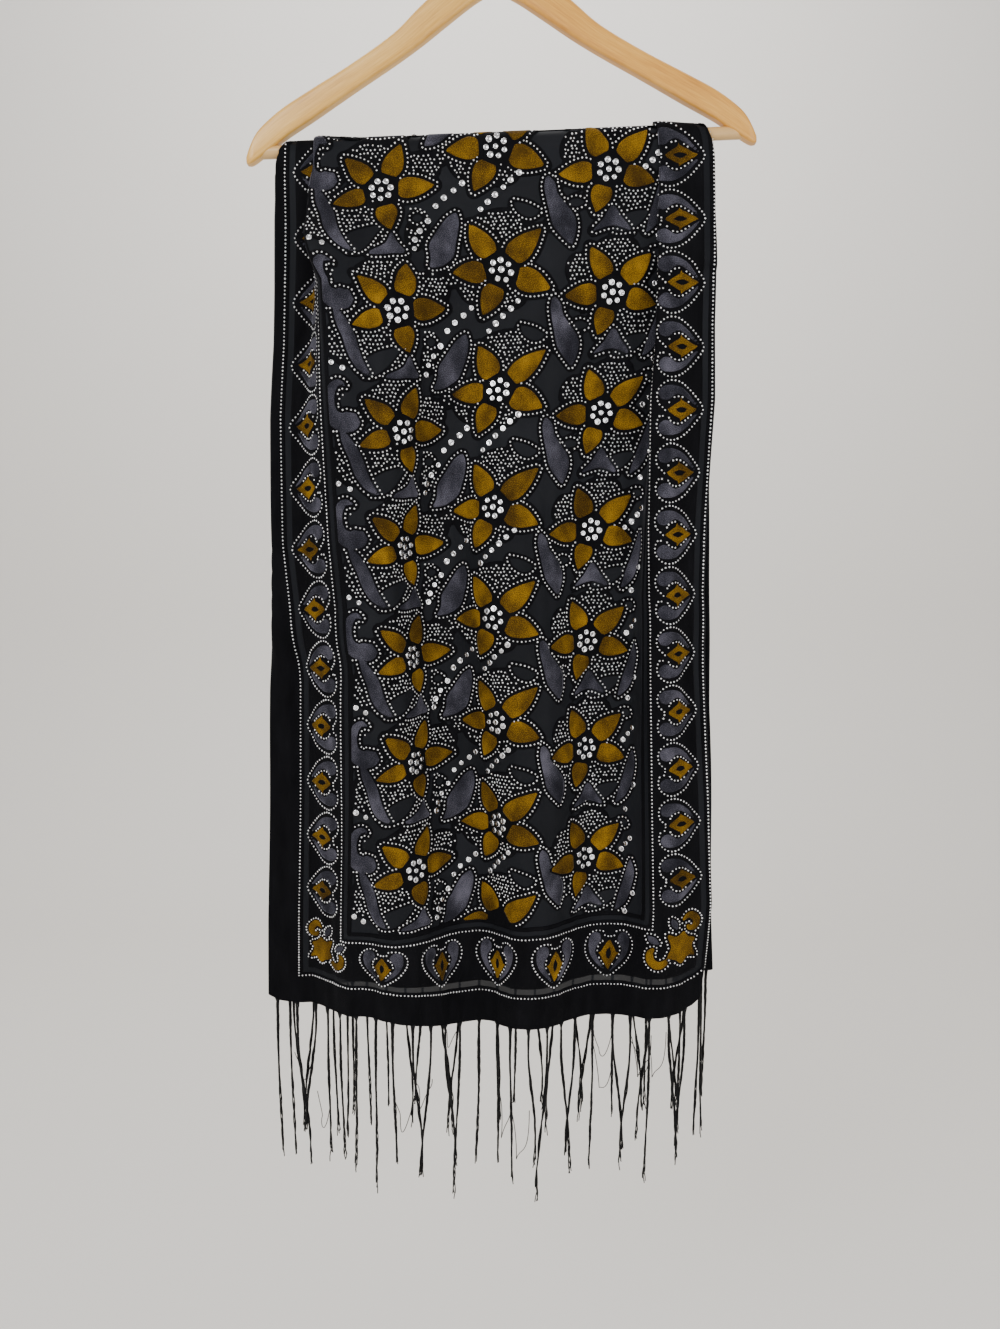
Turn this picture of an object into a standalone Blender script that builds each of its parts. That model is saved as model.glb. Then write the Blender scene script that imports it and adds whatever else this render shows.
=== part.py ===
# Evening stole on a wooden hanger.
# Metres, +Z up, +X to the wearer's left as seen from the front, the front looks along -Y.
# The origin is the inner crown of the hook, where a rail carries the whole piece.
import math

import bmesh
import bpy
import numpy as np
from mathutils import Vector

# Hanger
TILT = math.radians(2.3)          # the loaded hanger leans, its left end lower
HOOK_RADIUS = 0.020               # inner radius of the hook's bend
WIRE_RADIUS = 0.00175
SHANK_END = -0.112
HOOK_TURN = math.radians(60)      # how far the shank swings out before the bend
HOOK_TIP = math.radians(196)
ARM_HALF_THICK = 0.0072
ARM_ROUNDNESS = 3.0               # superellipse power of an arm's section
ARM_SIDES = 16
BAR_DROP = 0.2435
BAR_RADIUS = 0.0055
BAR_HALF_LENGTH = 0.2125
FIT = 0.0003                      # gap between pieces that meet

# Outline of one arm in the hanger's own frame: distance out, upper edge, lower edge
ARM_OUTLINE = (
    (0.00015, -0.0950, -0.1180),
    (0.0200, -0.0985, -0.1290),
    (0.0420, -0.1120, -0.1440),
    (0.0650, -0.1300, -0.1600),
    (0.0890, -0.1510, -0.1750),
    (0.1250, -0.1735, -0.1960),
    (0.1600, -0.1925, -0.2170),
    (0.1860, -0.2070, -0.2320),
    (0.2020, -0.2185, -0.2430),
    (0.2120, -0.2280, -0.2500),
    (0.2185, -0.2390, -0.2535),
    (0.2222, -0.2475, -0.2535),
)

# Cloth: a flat rectangle laid over the bar
CLOTH_WIDTH = 0.510
FRONT_LENGTH = 0.803              # crest of the bar to the front hem
BACK_LENGTH = 0.772
WALL = 0.0010
BAR_GAP = 0.0004
CREST_GAP = 0.0003                # parting of the two stretches on the crest
HEM_SINK = 0.003                  # the hems drift in under the bar
DEG = math.pi / 180

# How each stretch hangs. Columns: drop from the crest, left edge x, right edge x, left edge
# folded behind, right edge folded behind, then where the left pleat starts across the cloth,
# its depth and its turn, the same three for the right pleat, and the radius of the folds.
# A pleat whose turn falls below a right angle has opened into a flute.
FRONT_ROWS = (
    (0.000, -0.1760, 0.1830, 0.029, 0.030, 0.077, 0.0235, 180, 0.415, 0.0230, 180, 0.0010),
    (0.012, -0.1840, 0.1920, 0.022, 0.029, 0.077, 0.0235, 180, 0.415, 0.0200, 180, 0.0010),
    (0.030, -0.1870, 0.1950, 0.020, 0.028, 0.076, 0.0235, 176, 0.415, 0.0200, 180, 0.0010),
    (0.070, -0.1880, 0.1965, 0.019, 0.027, 0.071, 0.0270, 150, 0.413, 0.0205, 176, 0.0012),
    (0.130, -0.1895, 0.1965, 0.019, 0.026, 0.054, 0.0410, 76, 0.408, 0.0230, 150, 0.0015),
    (0.240, -0.1935, 0.1965, 0.019, 0.026, 0.048, 0.0470, 56, 0.398, 0.0280, 105, 0.0018),
    (0.350, -0.1960, 0.1930, 0.018, 0.026, 0.044, 0.0500, 44, 0.396, 0.0300, 84, 0.0022),
    (0.410, -0.1975, 0.1930, 0.011, 0.026, 0.040, 0.0540, 42, 0.394, 0.0310, 74, 0.0024),
    (0.480, -0.2010, 0.1950, 0.003, 0.026, 0.031, 0.0620, 44, 0.392, 0.0320, 64, 0.0026),
    (0.600, -0.2050, 0.2020, 0.002, 0.026, 0.034, 0.0600, 43, 0.390, 0.0330, 52, 0.0028),
    (0.700, -0.2090, 0.2060, 0.001, 0.026, 0.042, 0.0540, 46, 0.388, 0.0350, 44, 0.0030),
    (0.803, -0.2110, 0.1970, 0.001, 0.030, 0.043, 0.0530, 46, 0.386, 0.0370, 36, 0.0030),
)
BACK_ROWS = (
    (0.000, -0.1760, 0.1830, 0.029, 0.030, 0.077, 0.0235, 180, 0.415, 0.0230, 180, 0.0010),
    (0.012, -0.1840, 0.1920, 0.022, 0.029, 0.077, 0.0235, 180, 0.415, 0.0200, 180, 0.0010),
    (0.030, -0.1870, 0.1960, 0.020, 0.027, 0.077, 0.0220, 180, 0.415, 0.0200, 180, 0.0010),
    (0.160, -0.1885, 0.1985, 0.019, 0.026, 0.079, 0.0200, 180, 0.414, 0.0190, 180, 0.0013),
    (0.320, -0.1900, 0.2000, 0.019, 0.025, 0.081, 0.0185, 180, 0.412, 0.0170, 180, 0.0016),
    (0.480, -0.1930, 0.2030, 0.018, 0.023, 0.082, 0.0170, 175, 0.410, 0.0150, 175, 0.0020),
    (0.640, -0.1960, 0.2080, 0.017, 0.021, 0.084, 0.0160, 165, 0.409, 0.0140, 165, 0.0024),
    (0.772, -0.1990, 0.2125, 0.016, 0.020, 0.086, 0.0160, 145, 0.408, 0.0140, 140, 0.0028),
)
PLEAT_SOFTENING = 0.008           # extra length of a turn that has opened
FULL_CURL = 0.012                 # a narrower turned edge has begun to open

# Soft waves of the field. Columns: drop, then across the cloth and how far out for a crest,
# a valley, a crest and the valley before the right pleat, and how far out the right edge is
FRONT_WAVES = (
    (0.000, 0.150, 0.000, 0.230, 0.000, 0.300, 0.000, 0.370, 0.000, 0.000),
    (0.030, 0.150, 0.000, 0.230, 0.000, 0.300, 0.000, 0.370, 0.000, 0.000),
    (0.130, 0.150, 0.028, 0.230, 0.004, 0.290, 0.006, 0.370, 0.000, 0.008),
    (0.240, 0.140, 0.034, 0.220, 0.002, 0.280, 0.012, 0.370, 0.000, 0.024),
    (0.350, 0.125, 0.036, 0.200, 0.000, 0.270, 0.022, 0.365, 0.000, 0.020),
    (0.480, 0.121, 0.044, 0.200, 0.002, 0.277, 0.032, 0.370, 0.000, 0.014),
    (0.600, 0.127, 0.047, 0.214, 0.002, 0.287, 0.036, 0.374, 0.000, 0.014),
    (0.700, 0.140, 0.050, 0.228, 0.006, 0.290, 0.038, 0.373, 0.002, 0.016),
    (0.803, 0.152, 0.052, 0.238, 0.012, 0.292, 0.038, 0.371, 0.004, 0.014),
)
BACK_WAVES = (
    (0.000, 0.150, 0.000, 0.220, 0.000, 0.290, 0.000, 0.370, 0.000, 0.000),
    (0.100, 0.150, 0.000, 0.220, 0.000, 0.290, 0.000, 0.370, 0.000, 0.000),
    (0.200, 0.150, 0.006, 0.220, 0.000, 0.290, 0.005, 0.370, 0.000, 0.001),
    (0.320, 0.150, 0.010, 0.220, 0.000, 0.290, 0.009, 0.370, 0.000, 0.002),
    (0.500, 0.147, 0.014, 0.218, 0.000, 0.288, 0.013, 0.368, 0.000, 0.003),
    (0.772, 0.140, 0.019, 0.215, 0.000, 0.285, 0.017, 0.365, 0.000, 0.005),
)
LEAST_WAVE = 0.9                  # share of the waves that a section always keeps
MOST_WAVE = 3.0
FULL_SPAN = 0.0005                # how closely a section meets its two edges

# How far the hem rises from its lowest line: across the cloth, rise
FRONT_HEM = (
    (0.000, 0.029), (0.010, 0.023), (0.030, 0.020), (0.100, 0.021), (0.140, 0.020),
    (0.160, 0.017), (0.180, 0.011), (0.200, 0.005), (0.220, 0.001), (0.260, 0.000),
    (0.290, 0.003), (0.320, 0.000), (0.350, -0.003), (0.385, -0.003), (0.410, 0.000),
    (0.458, 0.001), (0.472, 0.006), (0.486, 0.020), (0.510, 0.028),
)
BACK_HEM = ((0.000, 0.000), (0.255, 0.004), (0.510, 0.000))

# Grid of the cloth
FINE_STEPS = 2041
FOLD_STEPS = 5                    # facets round each fold
RUN_STEPS = (1, 2, 2, 21, 2, 4)   # grid steps on the flat run before each fold
SHORTEST_RUN = 0.0004
SHORTEST_FOLD = 0.002
FRONT_LEVELS = (0.0, 0.0045, 0.0085, 0.014, 0.03, 0.05, 0.07, 0.09, 0.11, 0.13, 0.18, 0.24,
                0.295, 0.35, 0.41, 0.48, 0.54, 0.6, 0.65, 0.7, 0.75)
BACK_LEVELS = (0.0, 0.0045, 0.0085, 0.014, 0.04, 0.11, 0.2, 0.3, 0.4, 0.5, 0.6, 0.69)

# Fringe
CLUSTERS = 27
STRANDS = 3                       # in each cluster
CLUSTER_INSET = 0.008
STRAND_PITCH = 0.0027
STRAND_WIDTH = 0.0012
STRAND_TIP = 0.0008
STRIP_HEIGHT = 0.0022
STRIP_CLEAR = 0.0003              # the strip's own lines stay this far from a root
FRINGE_LENGTH = 0.150
FRINGE_VARIATION = 0.022
STRAND_SWAY = 0.004


def collection(name):
    group = bpy.data.collections.new(name)
    bpy.context.scene.collection.children.link(group)
    return group


def material(name, colour, roughness, metallic=0.0):
    shade = bpy.data.materials.new(name)
    shade.use_nodes = True
    shader = shade.node_tree.nodes["Principled BSDF"]
    shader.inputs["Base Color"].default_value = (*colour, 1.0)
    shader.inputs["Roughness"].default_value = roughness
    shader.inputs["Metallic"].default_value = metallic
    return shade


def place(name, mesh, shade, group):
    piece = bpy.data.objects.new(name, mesh)
    if shade:
        mesh.materials.clear()
        mesh.materials.append(shade)
    group.objects.link(piece)
    return piece


def smooth(value):
    value = np.clip(value, 0.0, 1.0)
    return value * value * (3.0 - 2.0 * value)


def read_row(rows, drop):
    """The row of a table at any drop, by straight interpolation of each column."""
    drops = [row[0] for row in rows]
    return [float(np.interp(drop, drops, column)) for column in zip(*rows)][1:]


def folds_at(rows, drop):
    """The folds of one section: centre, half length of the turn, and turn."""
    (left, right, curl_l, curl_r, start_l, deep_l, turn_l, start_r, deep_r, turn_r,
     radius) = read_row(rows, drop)
    curl_turn = 180 * min(1.0, curl_l / FULL_CURL)
    folds = [(curl_l, math.pi * radius / 2 + (1 - curl_turn / 180) * FULL_CURL, -curl_turn)]
    for start, deep, turn in ((start_l, deep_l, turn_l), (start_r, deep_r, turn_r)):
        half = math.pi * radius / 2 + (1 - turn / 180) * PLEAT_SOFTENING
        folds.append((start, half, turn))
        folds.append((start + deep, half, -turn))
    folds.append((CLOTH_WIDTH - curl_r, math.pi * radius / 2, -180))
    return left, right, curl_turn, folds


def lobes(u, knots):
    """Heading that carries the cloth from knot to knot, a half sine between each two."""
    heading = np.zeros_like(u)
    for (start, low), (end, high) in zip(knots, knots[1:]):
        inside = (u >= start) & (u < end)
        lean = math.atan(0.5 * math.pi * (high - low) / (end - start))
        heading[inside] = lean * np.sin(math.pi * (u[inside] - start) / (end - start))
    return heading


def lay(heading, step):
    """Across and out of a line that follows the heading."""
    middle = heading[:-1] + np.diff(heading) / 2
    across = np.concatenate(([0.0], np.cumsum(np.cos(middle))))
    out = np.concatenate(([0.0], np.cumsum(np.sin(middle))))
    return across * step, out * step


def section(rows, waves, drop, length):
    """One level of the cloth: its fine steps across, x, and how far it stands out."""
    u = np.linspace(0.0, CLOTH_WIDTH, FINE_STEPS)
    step = u[1] - u[0]
    left, right, curl_turn, folds = folds_at(rows, drop)
    still = np.full_like(u, curl_turn * DEG)
    for centre, half, turn in folds:
        still += turn * DEG * smooth((u - centre + half) / (2 * half))

    _, out = lay(still, step)
    ends = [folds[1][0] - folds[1][1], folds[2][0] + folds[2][1], folds[3][0] - folds[3][1],
            folds[4][0] + folds[4][1], folds[5][0] - folds[5][1]]
    before_l, after_l, before_r, after_r, _ = np.interp(ends, u, out)
    *spots, edge = read_row(waves, drop)
    field = list(zip(spots[0::2], spots[1::2]))
    valley = field[-1][1]
    wavy = lobes(u, [(ends[1], after_l - before_l)] + field + [(ends[2], valley)])
    wavy += lobes(u, [(ends[3], valley + after_r - before_r), (ends[4], edge)])

    low, high = LEAST_WAVE, MOST_WAVE
    for _ in range(30):
        strength = (low + high) / 2
        across, _ = lay(still + strength * wavy, step)
        if across.max() - across.min() > right - left + FULL_SPAN:
            low = strength
        else:
            high = strength
    across, out = lay(still + strength * wavy, step)
    out = out - out.min() - HEM_SINK * smooth(drop / length)
    span = across.max() - across.min()
    across = left + (across - across.min()) * (right - left) / span
    return u, across, out, folds


def bar_height(x):
    return -BAR_DROP / math.cos(TILT) + x * math.tan(TILT)


def on_spine(side, drop, x, out):
    """A point of the cloth that hangs by drop from the crest, side -1 front, +1 back."""
    radius = BAR_RADIUS + BAR_GAP + WALL / 2
    quarter = math.pi * radius / 2
    if drop < quarter:
        angle = drop / radius
        y = side * (radius + out) * math.sin(angle)
        z = (radius + out) * math.cos(angle)
    else:
        y = side * (radius + out)
        z = quarter - drop
    return Vector((x, y, bar_height(x) + z))


def fold_marks(folds):
    """The same number of lines in every section, so the sections can be joined."""
    marks = [0.0]
    for (centre, half, _), run in zip(folds, RUN_STEPS):
        last = marks[-1]
        start = max(centre - half, last + SHORTEST_RUN)
        end = max(centre + half, start + SHORTEST_FOLD)
        for k in range(1, run):
            marks.append(last + (start - last) * k / run)
        for k in range(FOLD_STEPS + 1):
            marks.append(start + (end - start) * k / FOLD_STEPS)
    last = marks[-1]
    marks.append((last + CLOTH_WIDTH) / 2)
    marks.append(CLOTH_WIDTH)
    return marks


class Stretch:
    """One stretch of the cloth, from the crest of the bar to its hem."""

    def __init__(self, side, rows, waves, length, hem):
        self.side = side
        self.rows = rows
        self.waves = waves
        self.length = length
        self.hem = hem
        self.kept = {}

    def level(self, drop):
        key = round(drop, 6)
        if key not in self.kept:
            self.kept[key] = section(self.rows, self.waves, min(drop, self.length), self.length)
        return self.kept[key]

    def hem_drop(self, u):
        return self.length - float(np.interp(u, *zip(*self.hem)))

    def point(self, u, drop, lift=0.0):
        """A point of the mid surface, moved out by lift along the cloth's own normal."""
        fine, across, out, _ = self.level(drop)
        x = np.interp(u, fine, across)
        d = np.interp(u, fine, out)
        if lift:
            reach = CLOTH_WIDTH / FINE_STEPS
            lean_x = np.interp(u + reach, fine, across) - np.interp(u - reach, fine, across)
            lean_d = np.interp(u + reach, fine, out) - np.interp(u - reach, fine, out)
            size = math.hypot(lean_x, lean_d)
            x = x - lift * lean_d / size
            d = d + lift * lean_x / size
        return on_spine(self.side, drop, float(x), float(d))


def close_wall(bm, outer, inner):
    """A closed wall from two grids of points, the outer one and the inner one."""
    grids = [[[bm.verts.new(p) for p in row] for row in grid] for grid in (outer, inner)]
    front, rear = grids
    rows = len(front)
    columns = len(front[0])
    for i in range(rows - 1):
        for j in range(columns - 1):
            bm.faces.new((front[i][j], front[i + 1][j], front[i + 1][j + 1], front[i][j + 1]))
            bm.faces.new((rear[i][j], rear[i][j + 1], rear[i + 1][j + 1], rear[i + 1][j]))
    for i in range(rows - 1):
        bm.faces.new((front[i][0], rear[i][0], rear[i + 1][0], front[i + 1][0]))
        last = columns - 1
        bm.faces.new((front[i][last], front[i + 1][last], rear[i + 1][last], rear[i][last]))
    for j in range(columns - 1):
        bm.faces.new((front[0][j], front[0][j + 1], rear[0][j + 1], rear[0][j]))
        last = rows - 1
        bm.faces.new((front[last][j], rear[last][j], rear[last][j + 1], front[last][j + 1]))


def finish_mesh(name, bm):
    bmesh.ops.triangulate(bm, faces=bm.faces[:])
    bmesh.ops.recalc_face_normals(bm, faces=bm.faces[:])
    mesh = bpy.data.meshes.new(name)
    bm.to_mesh(mesh)
    bm.free()
    mesh.shade_smooth()
    mesh.set_sharp_from_angle(angle=math.radians(50))
    return mesh


def cloth(name, stretch, levels, shade, group):
    start = CREST_GAP / 2
    outer, inner = [], []
    for share in list(levels) + [None]:
        drop = stretch.length if share is None else max(share, start)
        marks = fold_marks(stretch.level(drop)[3])
        row_out, row_in = [], []
        for u in marks:
            here = stretch.hem_drop(u) if share is None else drop
            row_out.append(stretch.point(u, here, WALL / 2))
            row_in.append(stretch.point(u, here, -WALL / 2))
        outer.append(row_out)
        inner.append(row_in)
    bm = bmesh.new()
    close_wall(bm, outer, inner)
    return place(name, finish_mesh(name, bm), shade, group)


def fringe_length(cluster, strand, phase):
    """Uneven lengths that follow a rule, so every build gives the same fringe."""
    wobble = math.sin(2.4 * cluster + phase) + 0.6 * math.sin(5.1 * cluster + 1.7 * strand)
    return FRINGE_LENGTH + FRINGE_VARIATION * wobble / 1.6


def fringe(name, stretch, phase, shade, group):
    """A narrow strip just under the hem with the strands drawn down out of it."""
    first = CLUSTER_INSET
    pitch = (CLOTH_WIDTH - 2 * CLUSTER_INSET) / (CLUSTERS - 1)
    hem_marks = fold_marks(stretch.level(stretch.length)[3])
    spans = []
    for cluster in range(CLUSTERS):
        for strand in range(STRANDS):
            centre = first + cluster * pitch + (strand - (STRANDS - 1) / 2) * STRAND_PITCH
            spans.append((centre - STRAND_WIDTH / 2, centre + STRAND_WIDTH / 2, cluster, strand))
    free = [mark for mark in hem_marks
            if all(mark < a - STRIP_CLEAR or mark > b + STRIP_CLEAR for a, b, _, _ in spans)]
    free[0] += STRIP_CLEAR
    free[-1] -= STRIP_CLEAR
    marks = sorted(free + [a for a, _, _, _ in spans] + [b for _, b, _, _ in spans])
    roots = {marks.index(a): (cluster, strand) for a, _, cluster, strand in spans}

    def edge(u, below, lift):
        """A point just under the hem's own facets, so the strip never meets them."""
        after = min(max(int(np.searchsorted(hem_marks, u)), 1), len(hem_marks) - 1)
        ends = hem_marks[after - 1], hem_marks[after]
        a, b = (stretch.point(mark, stretch.hem_drop(mark), lift) for mark in ends)
        spot = a.lerp(b, (u - ends[0]) / (ends[1] - ends[0]))
        spot.z -= below
        return spot

    half = WALL / 2
    bm = bmesh.new()
    outer = [[edge(u, drop, half) for u in marks] for drop in (FIT, FIT + STRIP_HEIGHT)]
    inner = [[edge(u, drop, -half) for u in marks] for drop in (FIT, FIT + STRIP_HEIGHT)]
    close_wall(bm, outer, inner)
    bm.verts.ensure_lookup_table()
    columns = len(marks)
    under = {}
    for index in roots:
        corners = [bm.verts[columns + index], bm.verts[columns + index + 1],
                   bm.verts[3 * columns + index + 1], bm.verts[3 * columns + index]]
        under[index] = bm.faces.get(corners)
    for index, (cluster, strand) in roots.items():
        face = under[index]
        length = fringe_length(cluster, strand, phase)
        sway = STRAND_SWAY * math.sin(1.9 * cluster + phase + 0.8)
        middle = face.calc_center_median()
        draw_strand(bm, face, middle, length, sway)
    return place(name, finish_mesh(name, bm), shade, group)


def draw_strand(bm, face, middle, length, sway):
    size = STRAND_WIDTH
    for share in (0.45, 1.0):
        target = middle + Vector((sway * share * share, 0.0, -length * share))
        grown = bmesh.ops.extrude_discrete_faces(bm, faces=[face])
        face = grown["faces"][0]
        here = face.calc_center_median()
        next_size = STRAND_WIDTH + (STRAND_TIP - STRAND_WIDTH) * share
        for vert in face.verts:
            vert.co = target + (vert.co - here) * next_size / size
        size = next_size


def superellipse(angle, half_wide, half_high, power):
    c = math.cos(angle)
    s = math.sin(angle)
    return (half_wide * math.copysign(abs(c) ** (2 / power), c),
            half_high * math.copysign(abs(s) ** (2 / power), s))


def arm(name, side, shade, group):
    """Half of the hanger's bow, a loft of rounded sections out to the tip."""
    bm = bmesh.new()
    rings = []
    for out, top, bottom in ARM_OUTLINE:
        ring = []
        thin = min(1.0, 0.55 + (top - bottom) / 0.04)
        for k in range(ARM_SIDES):
            angle = 2 * math.pi * (k + 0.5) / ARM_SIDES
            y, z = superellipse(angle, ARM_HALF_THICK * thin, (top - bottom) / 2, ARM_ROUNDNESS)
            ring.append(bm.verts.new((side * out, y, (top + bottom) / 2 + z)))
        rings.append(ring)
    for near, far in zip(rings, rings[1:]):
        for k in range(ARM_SIDES):
            n = (k + 1) % ARM_SIDES
            bm.faces.new((near[k], near[n], far[n], far[k]))
    bm.faces.new(rings[0])
    bm.faces.new(rings[-1])
    return place(name, finish_mesh(name, bm), shade, group)


def cutter_rod(name, radius, start, end, group):
    """A round cutter from start to end."""
    axis = Vector(end) - Vector(start)
    bm = bmesh.new()
    bmesh.ops.create_cone(bm, cap_ends=True, segments=24, radius1=radius, radius2=radius,
                          depth=axis.length)
    mesh = bpy.data.meshes.new(name)
    bm.to_mesh(mesh)
    bm.free()
    rod = place(name, mesh, None, group)
    rod.location = (Vector(start) + Vector(end)) / 2
    rod.rotation_euler = axis.to_track_quat("Z", "Y").to_euler()
    rod.hide_render = True
    rod.display_type = "WIRE"
    return rod


def cut(piece, cutter):
    step = piece.modifiers.new(cutter.name, "BOOLEAN")
    step.operation = "DIFFERENCE"
    step.object = cutter
    step.solver = "EXACT"


def bar(shade, group):
    bm = bmesh.new()
    bmesh.ops.create_cone(bm, cap_ends=True, segments=24, radius1=BAR_RADIUS,
                          radius2=BAR_RADIUS, depth=2 * BAR_HALF_LENGTH)
    mesh = bpy.data.meshes.new("bar")
    bm.to_mesh(mesh)
    bm.free()
    mesh.shade_smooth()
    mesh.set_sharp_from_angle(angle=math.radians(50))
    piece = place("bar", mesh, shade, group)
    piece.location = (0.0, 0.0, -BAR_DROP)
    piece.rotation_euler = (0.0, math.pi / 2, 0.0)
    return piece


def hook_route():
    """Shank, a swing out to one side, and the bend over the rail."""
    radius = HOOK_RADIUS + WIRE_RADIUS
    centre_z = -HOOK_RADIUS
    join = Vector((radius * math.sin(math.pi / 2 - HOOK_TURN), 0.0,
                   centre_z - radius * math.sin(HOOK_TURN)))
    swing = join.x / (1 - math.cos(HOOK_TURN))
    low = join.z - swing * math.sin(HOOK_TURN)
    route = [Vector((0.0, 0.0, SHANK_END)), Vector((0.0, 0.0, (SHANK_END + low) / 2))]
    for k in range(5):
        angle = HOOK_TURN * k / 5
        route.append(Vector((swing * (1 - math.cos(angle)), 0.0, low + swing * math.sin(angle))))
    for k in range(23):
        angle = -HOOK_TURN + (HOOK_TIP + HOOK_TURN) * k / 22
        route.append(Vector((radius * math.cos(angle), 0.0, centre_z + radius * math.sin(angle))))
    return route


def hook(shade, group):
    data = bpy.data.curves.new("hook", "CURVE")
    data.dimensions = "3D"
    data.bevel_depth = WIRE_RADIUS
    data.bevel_resolution = 2
    data.use_fill_caps = True
    route = hook_route()
    spline = data.splines.new("POLY")
    spline.points.add(len(route) - 1)
    for point, spot in zip(spline.points, route):
        point.co = (*spot, 1.0)
    data.materials.append(shade)
    piece = bpy.data.objects.new("hook", data)
    group.objects.link(piece)
    return piece


def build():
    for item in list(bpy.data.objects):
        bpy.data.objects.remove(item, do_unlink=True)
    parts = collection("evening_stole_on_a_wooden_hanger")
    cutters = collection("cutters")

    pale_wood = material("pale_wood", (0.62, 0.37, 0.19), 0.42)
    warm_wood = material("warm_wood", (0.60, 0.31, 0.13), 0.42)
    dowel_wood = material("dowel_wood", (0.66, 0.43, 0.24), 0.5)
    metal = material("hook_metal", (0.62, 0.62, 0.63), 0.25, 1.0)
    velvet = material("velvet_front", (0.006, 0.006, 0.008), 0.8)
    velvet_back = material("velvet_back", (0.006, 0.006, 0.008), 0.8)
    thread = material("fringe_thread", (0.005, 0.005, 0.006), 0.6)

    tilt = bpy.data.objects.new("hanger_tilt", None)
    tilt.rotation_euler = (0.0, -TILT, 0.0)
    parts.objects.link(tilt)

    socket = cutter_rod("bar_socket", BAR_RADIUS + FIT,
                        (-BAR_HALF_LENGTH - FIT, 0.0, -BAR_DROP),
                        (BAR_HALF_LENGTH + FIT, 0.0, -BAR_DROP), cutters)
    bore = cutter_rod("shank_bore", WIRE_RADIUS + FIT, (0.0, 0.0, SHANK_END - FIT),
                      (0.0, 0.0, -0.05), cutters)
    pieces = [socket, bore, bar(dowel_wood, parts), hook(metal, parts)]
    for name, side, shade in (("arm_left", -1, pale_wood), ("arm_right", 1, warm_wood)):
        limb = arm(name, side, shade, parts)
        cut(limb, socket)
        cut(limb, bore)
        pieces.append(limb)
    for piece in pieces:
        piece.parent = tilt

    front = Stretch(-1, FRONT_ROWS, FRONT_WAVES, FRONT_LENGTH, FRONT_HEM)
    back = Stretch(1, BACK_ROWS, BACK_WAVES, BACK_LENGTH, BACK_HEM)
    cloth("stole_front", front, FRONT_LEVELS, velvet, parts)
    cloth("stole_back", back, BACK_LEVELS, velvet_back, parts)
    fringe("fringe_front", front, 0.0, thread, parts)
    fringe("fringe_back", back, 1.3, thread, parts)
    bpy.context.view_layer.update()


build()
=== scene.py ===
# Looks of the evening stole on its wooden hanger: burnt-out velvet with a flower field,
# a bordered edge, glitter dots, set stones and a long fringe.
import math

import bpy
import numpy as np
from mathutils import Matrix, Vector


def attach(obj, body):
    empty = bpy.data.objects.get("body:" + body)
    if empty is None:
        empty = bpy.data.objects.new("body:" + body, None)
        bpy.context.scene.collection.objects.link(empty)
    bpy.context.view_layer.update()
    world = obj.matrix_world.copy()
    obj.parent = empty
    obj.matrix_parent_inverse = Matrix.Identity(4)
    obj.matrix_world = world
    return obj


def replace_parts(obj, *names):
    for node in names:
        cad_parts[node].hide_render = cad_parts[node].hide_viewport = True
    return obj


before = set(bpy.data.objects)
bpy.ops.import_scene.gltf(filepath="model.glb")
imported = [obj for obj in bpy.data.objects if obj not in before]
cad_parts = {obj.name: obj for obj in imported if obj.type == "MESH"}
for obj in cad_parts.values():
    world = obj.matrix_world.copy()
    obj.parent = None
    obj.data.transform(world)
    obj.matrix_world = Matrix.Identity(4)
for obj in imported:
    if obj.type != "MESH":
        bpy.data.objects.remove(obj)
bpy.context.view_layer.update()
BODY = "root"

# Sizes of the hanger and of the cloth's hang, in metres, as in the solids
TILT = math.radians(2.3)
HOOK_RADIUS = 0.020
WIRE_RADIUS = 0.00175
SHANK_END = -0.112
HOOK_TURN = math.radians(60)
HOOK_TIP = math.radians(196)
ARM_HALF_THICK = 0.0072
ARM_ROUNDNESS = 4.5
BAR_DROP = 0.2435
BAR_RADIUS = 0.0055
BAR_HALF_LENGTH = 0.2125
CLOTH_WIDTH = 0.510
FRONT_LENGTH = 0.803
BACK_LENGTH = 0.772
WALL = 0.0010
BAR_GAP = 0.0004
HEM_SINK = 0.003
DEG = math.pi / 180

# Distance out, upper edge, lower edge of an arm
ARM_OUTLINE = (
    (0.00015, -0.0950, -0.1180), (0.0200, -0.0985, -0.1290), (0.0420, -0.1120, -0.1440),
    (0.0650, -0.1300, -0.1600), (0.0890, -0.1510, -0.1750), (0.1250, -0.1735, -0.1960),
    (0.1600, -0.1925, -0.2170), (0.1860, -0.2070, -0.2320), (0.2020, -0.2185, -0.2430),
    (0.2120, -0.2280, -0.2500), (0.2185, -0.2390, -0.2535), (0.2222, -0.2475, -0.2535),
)

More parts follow.
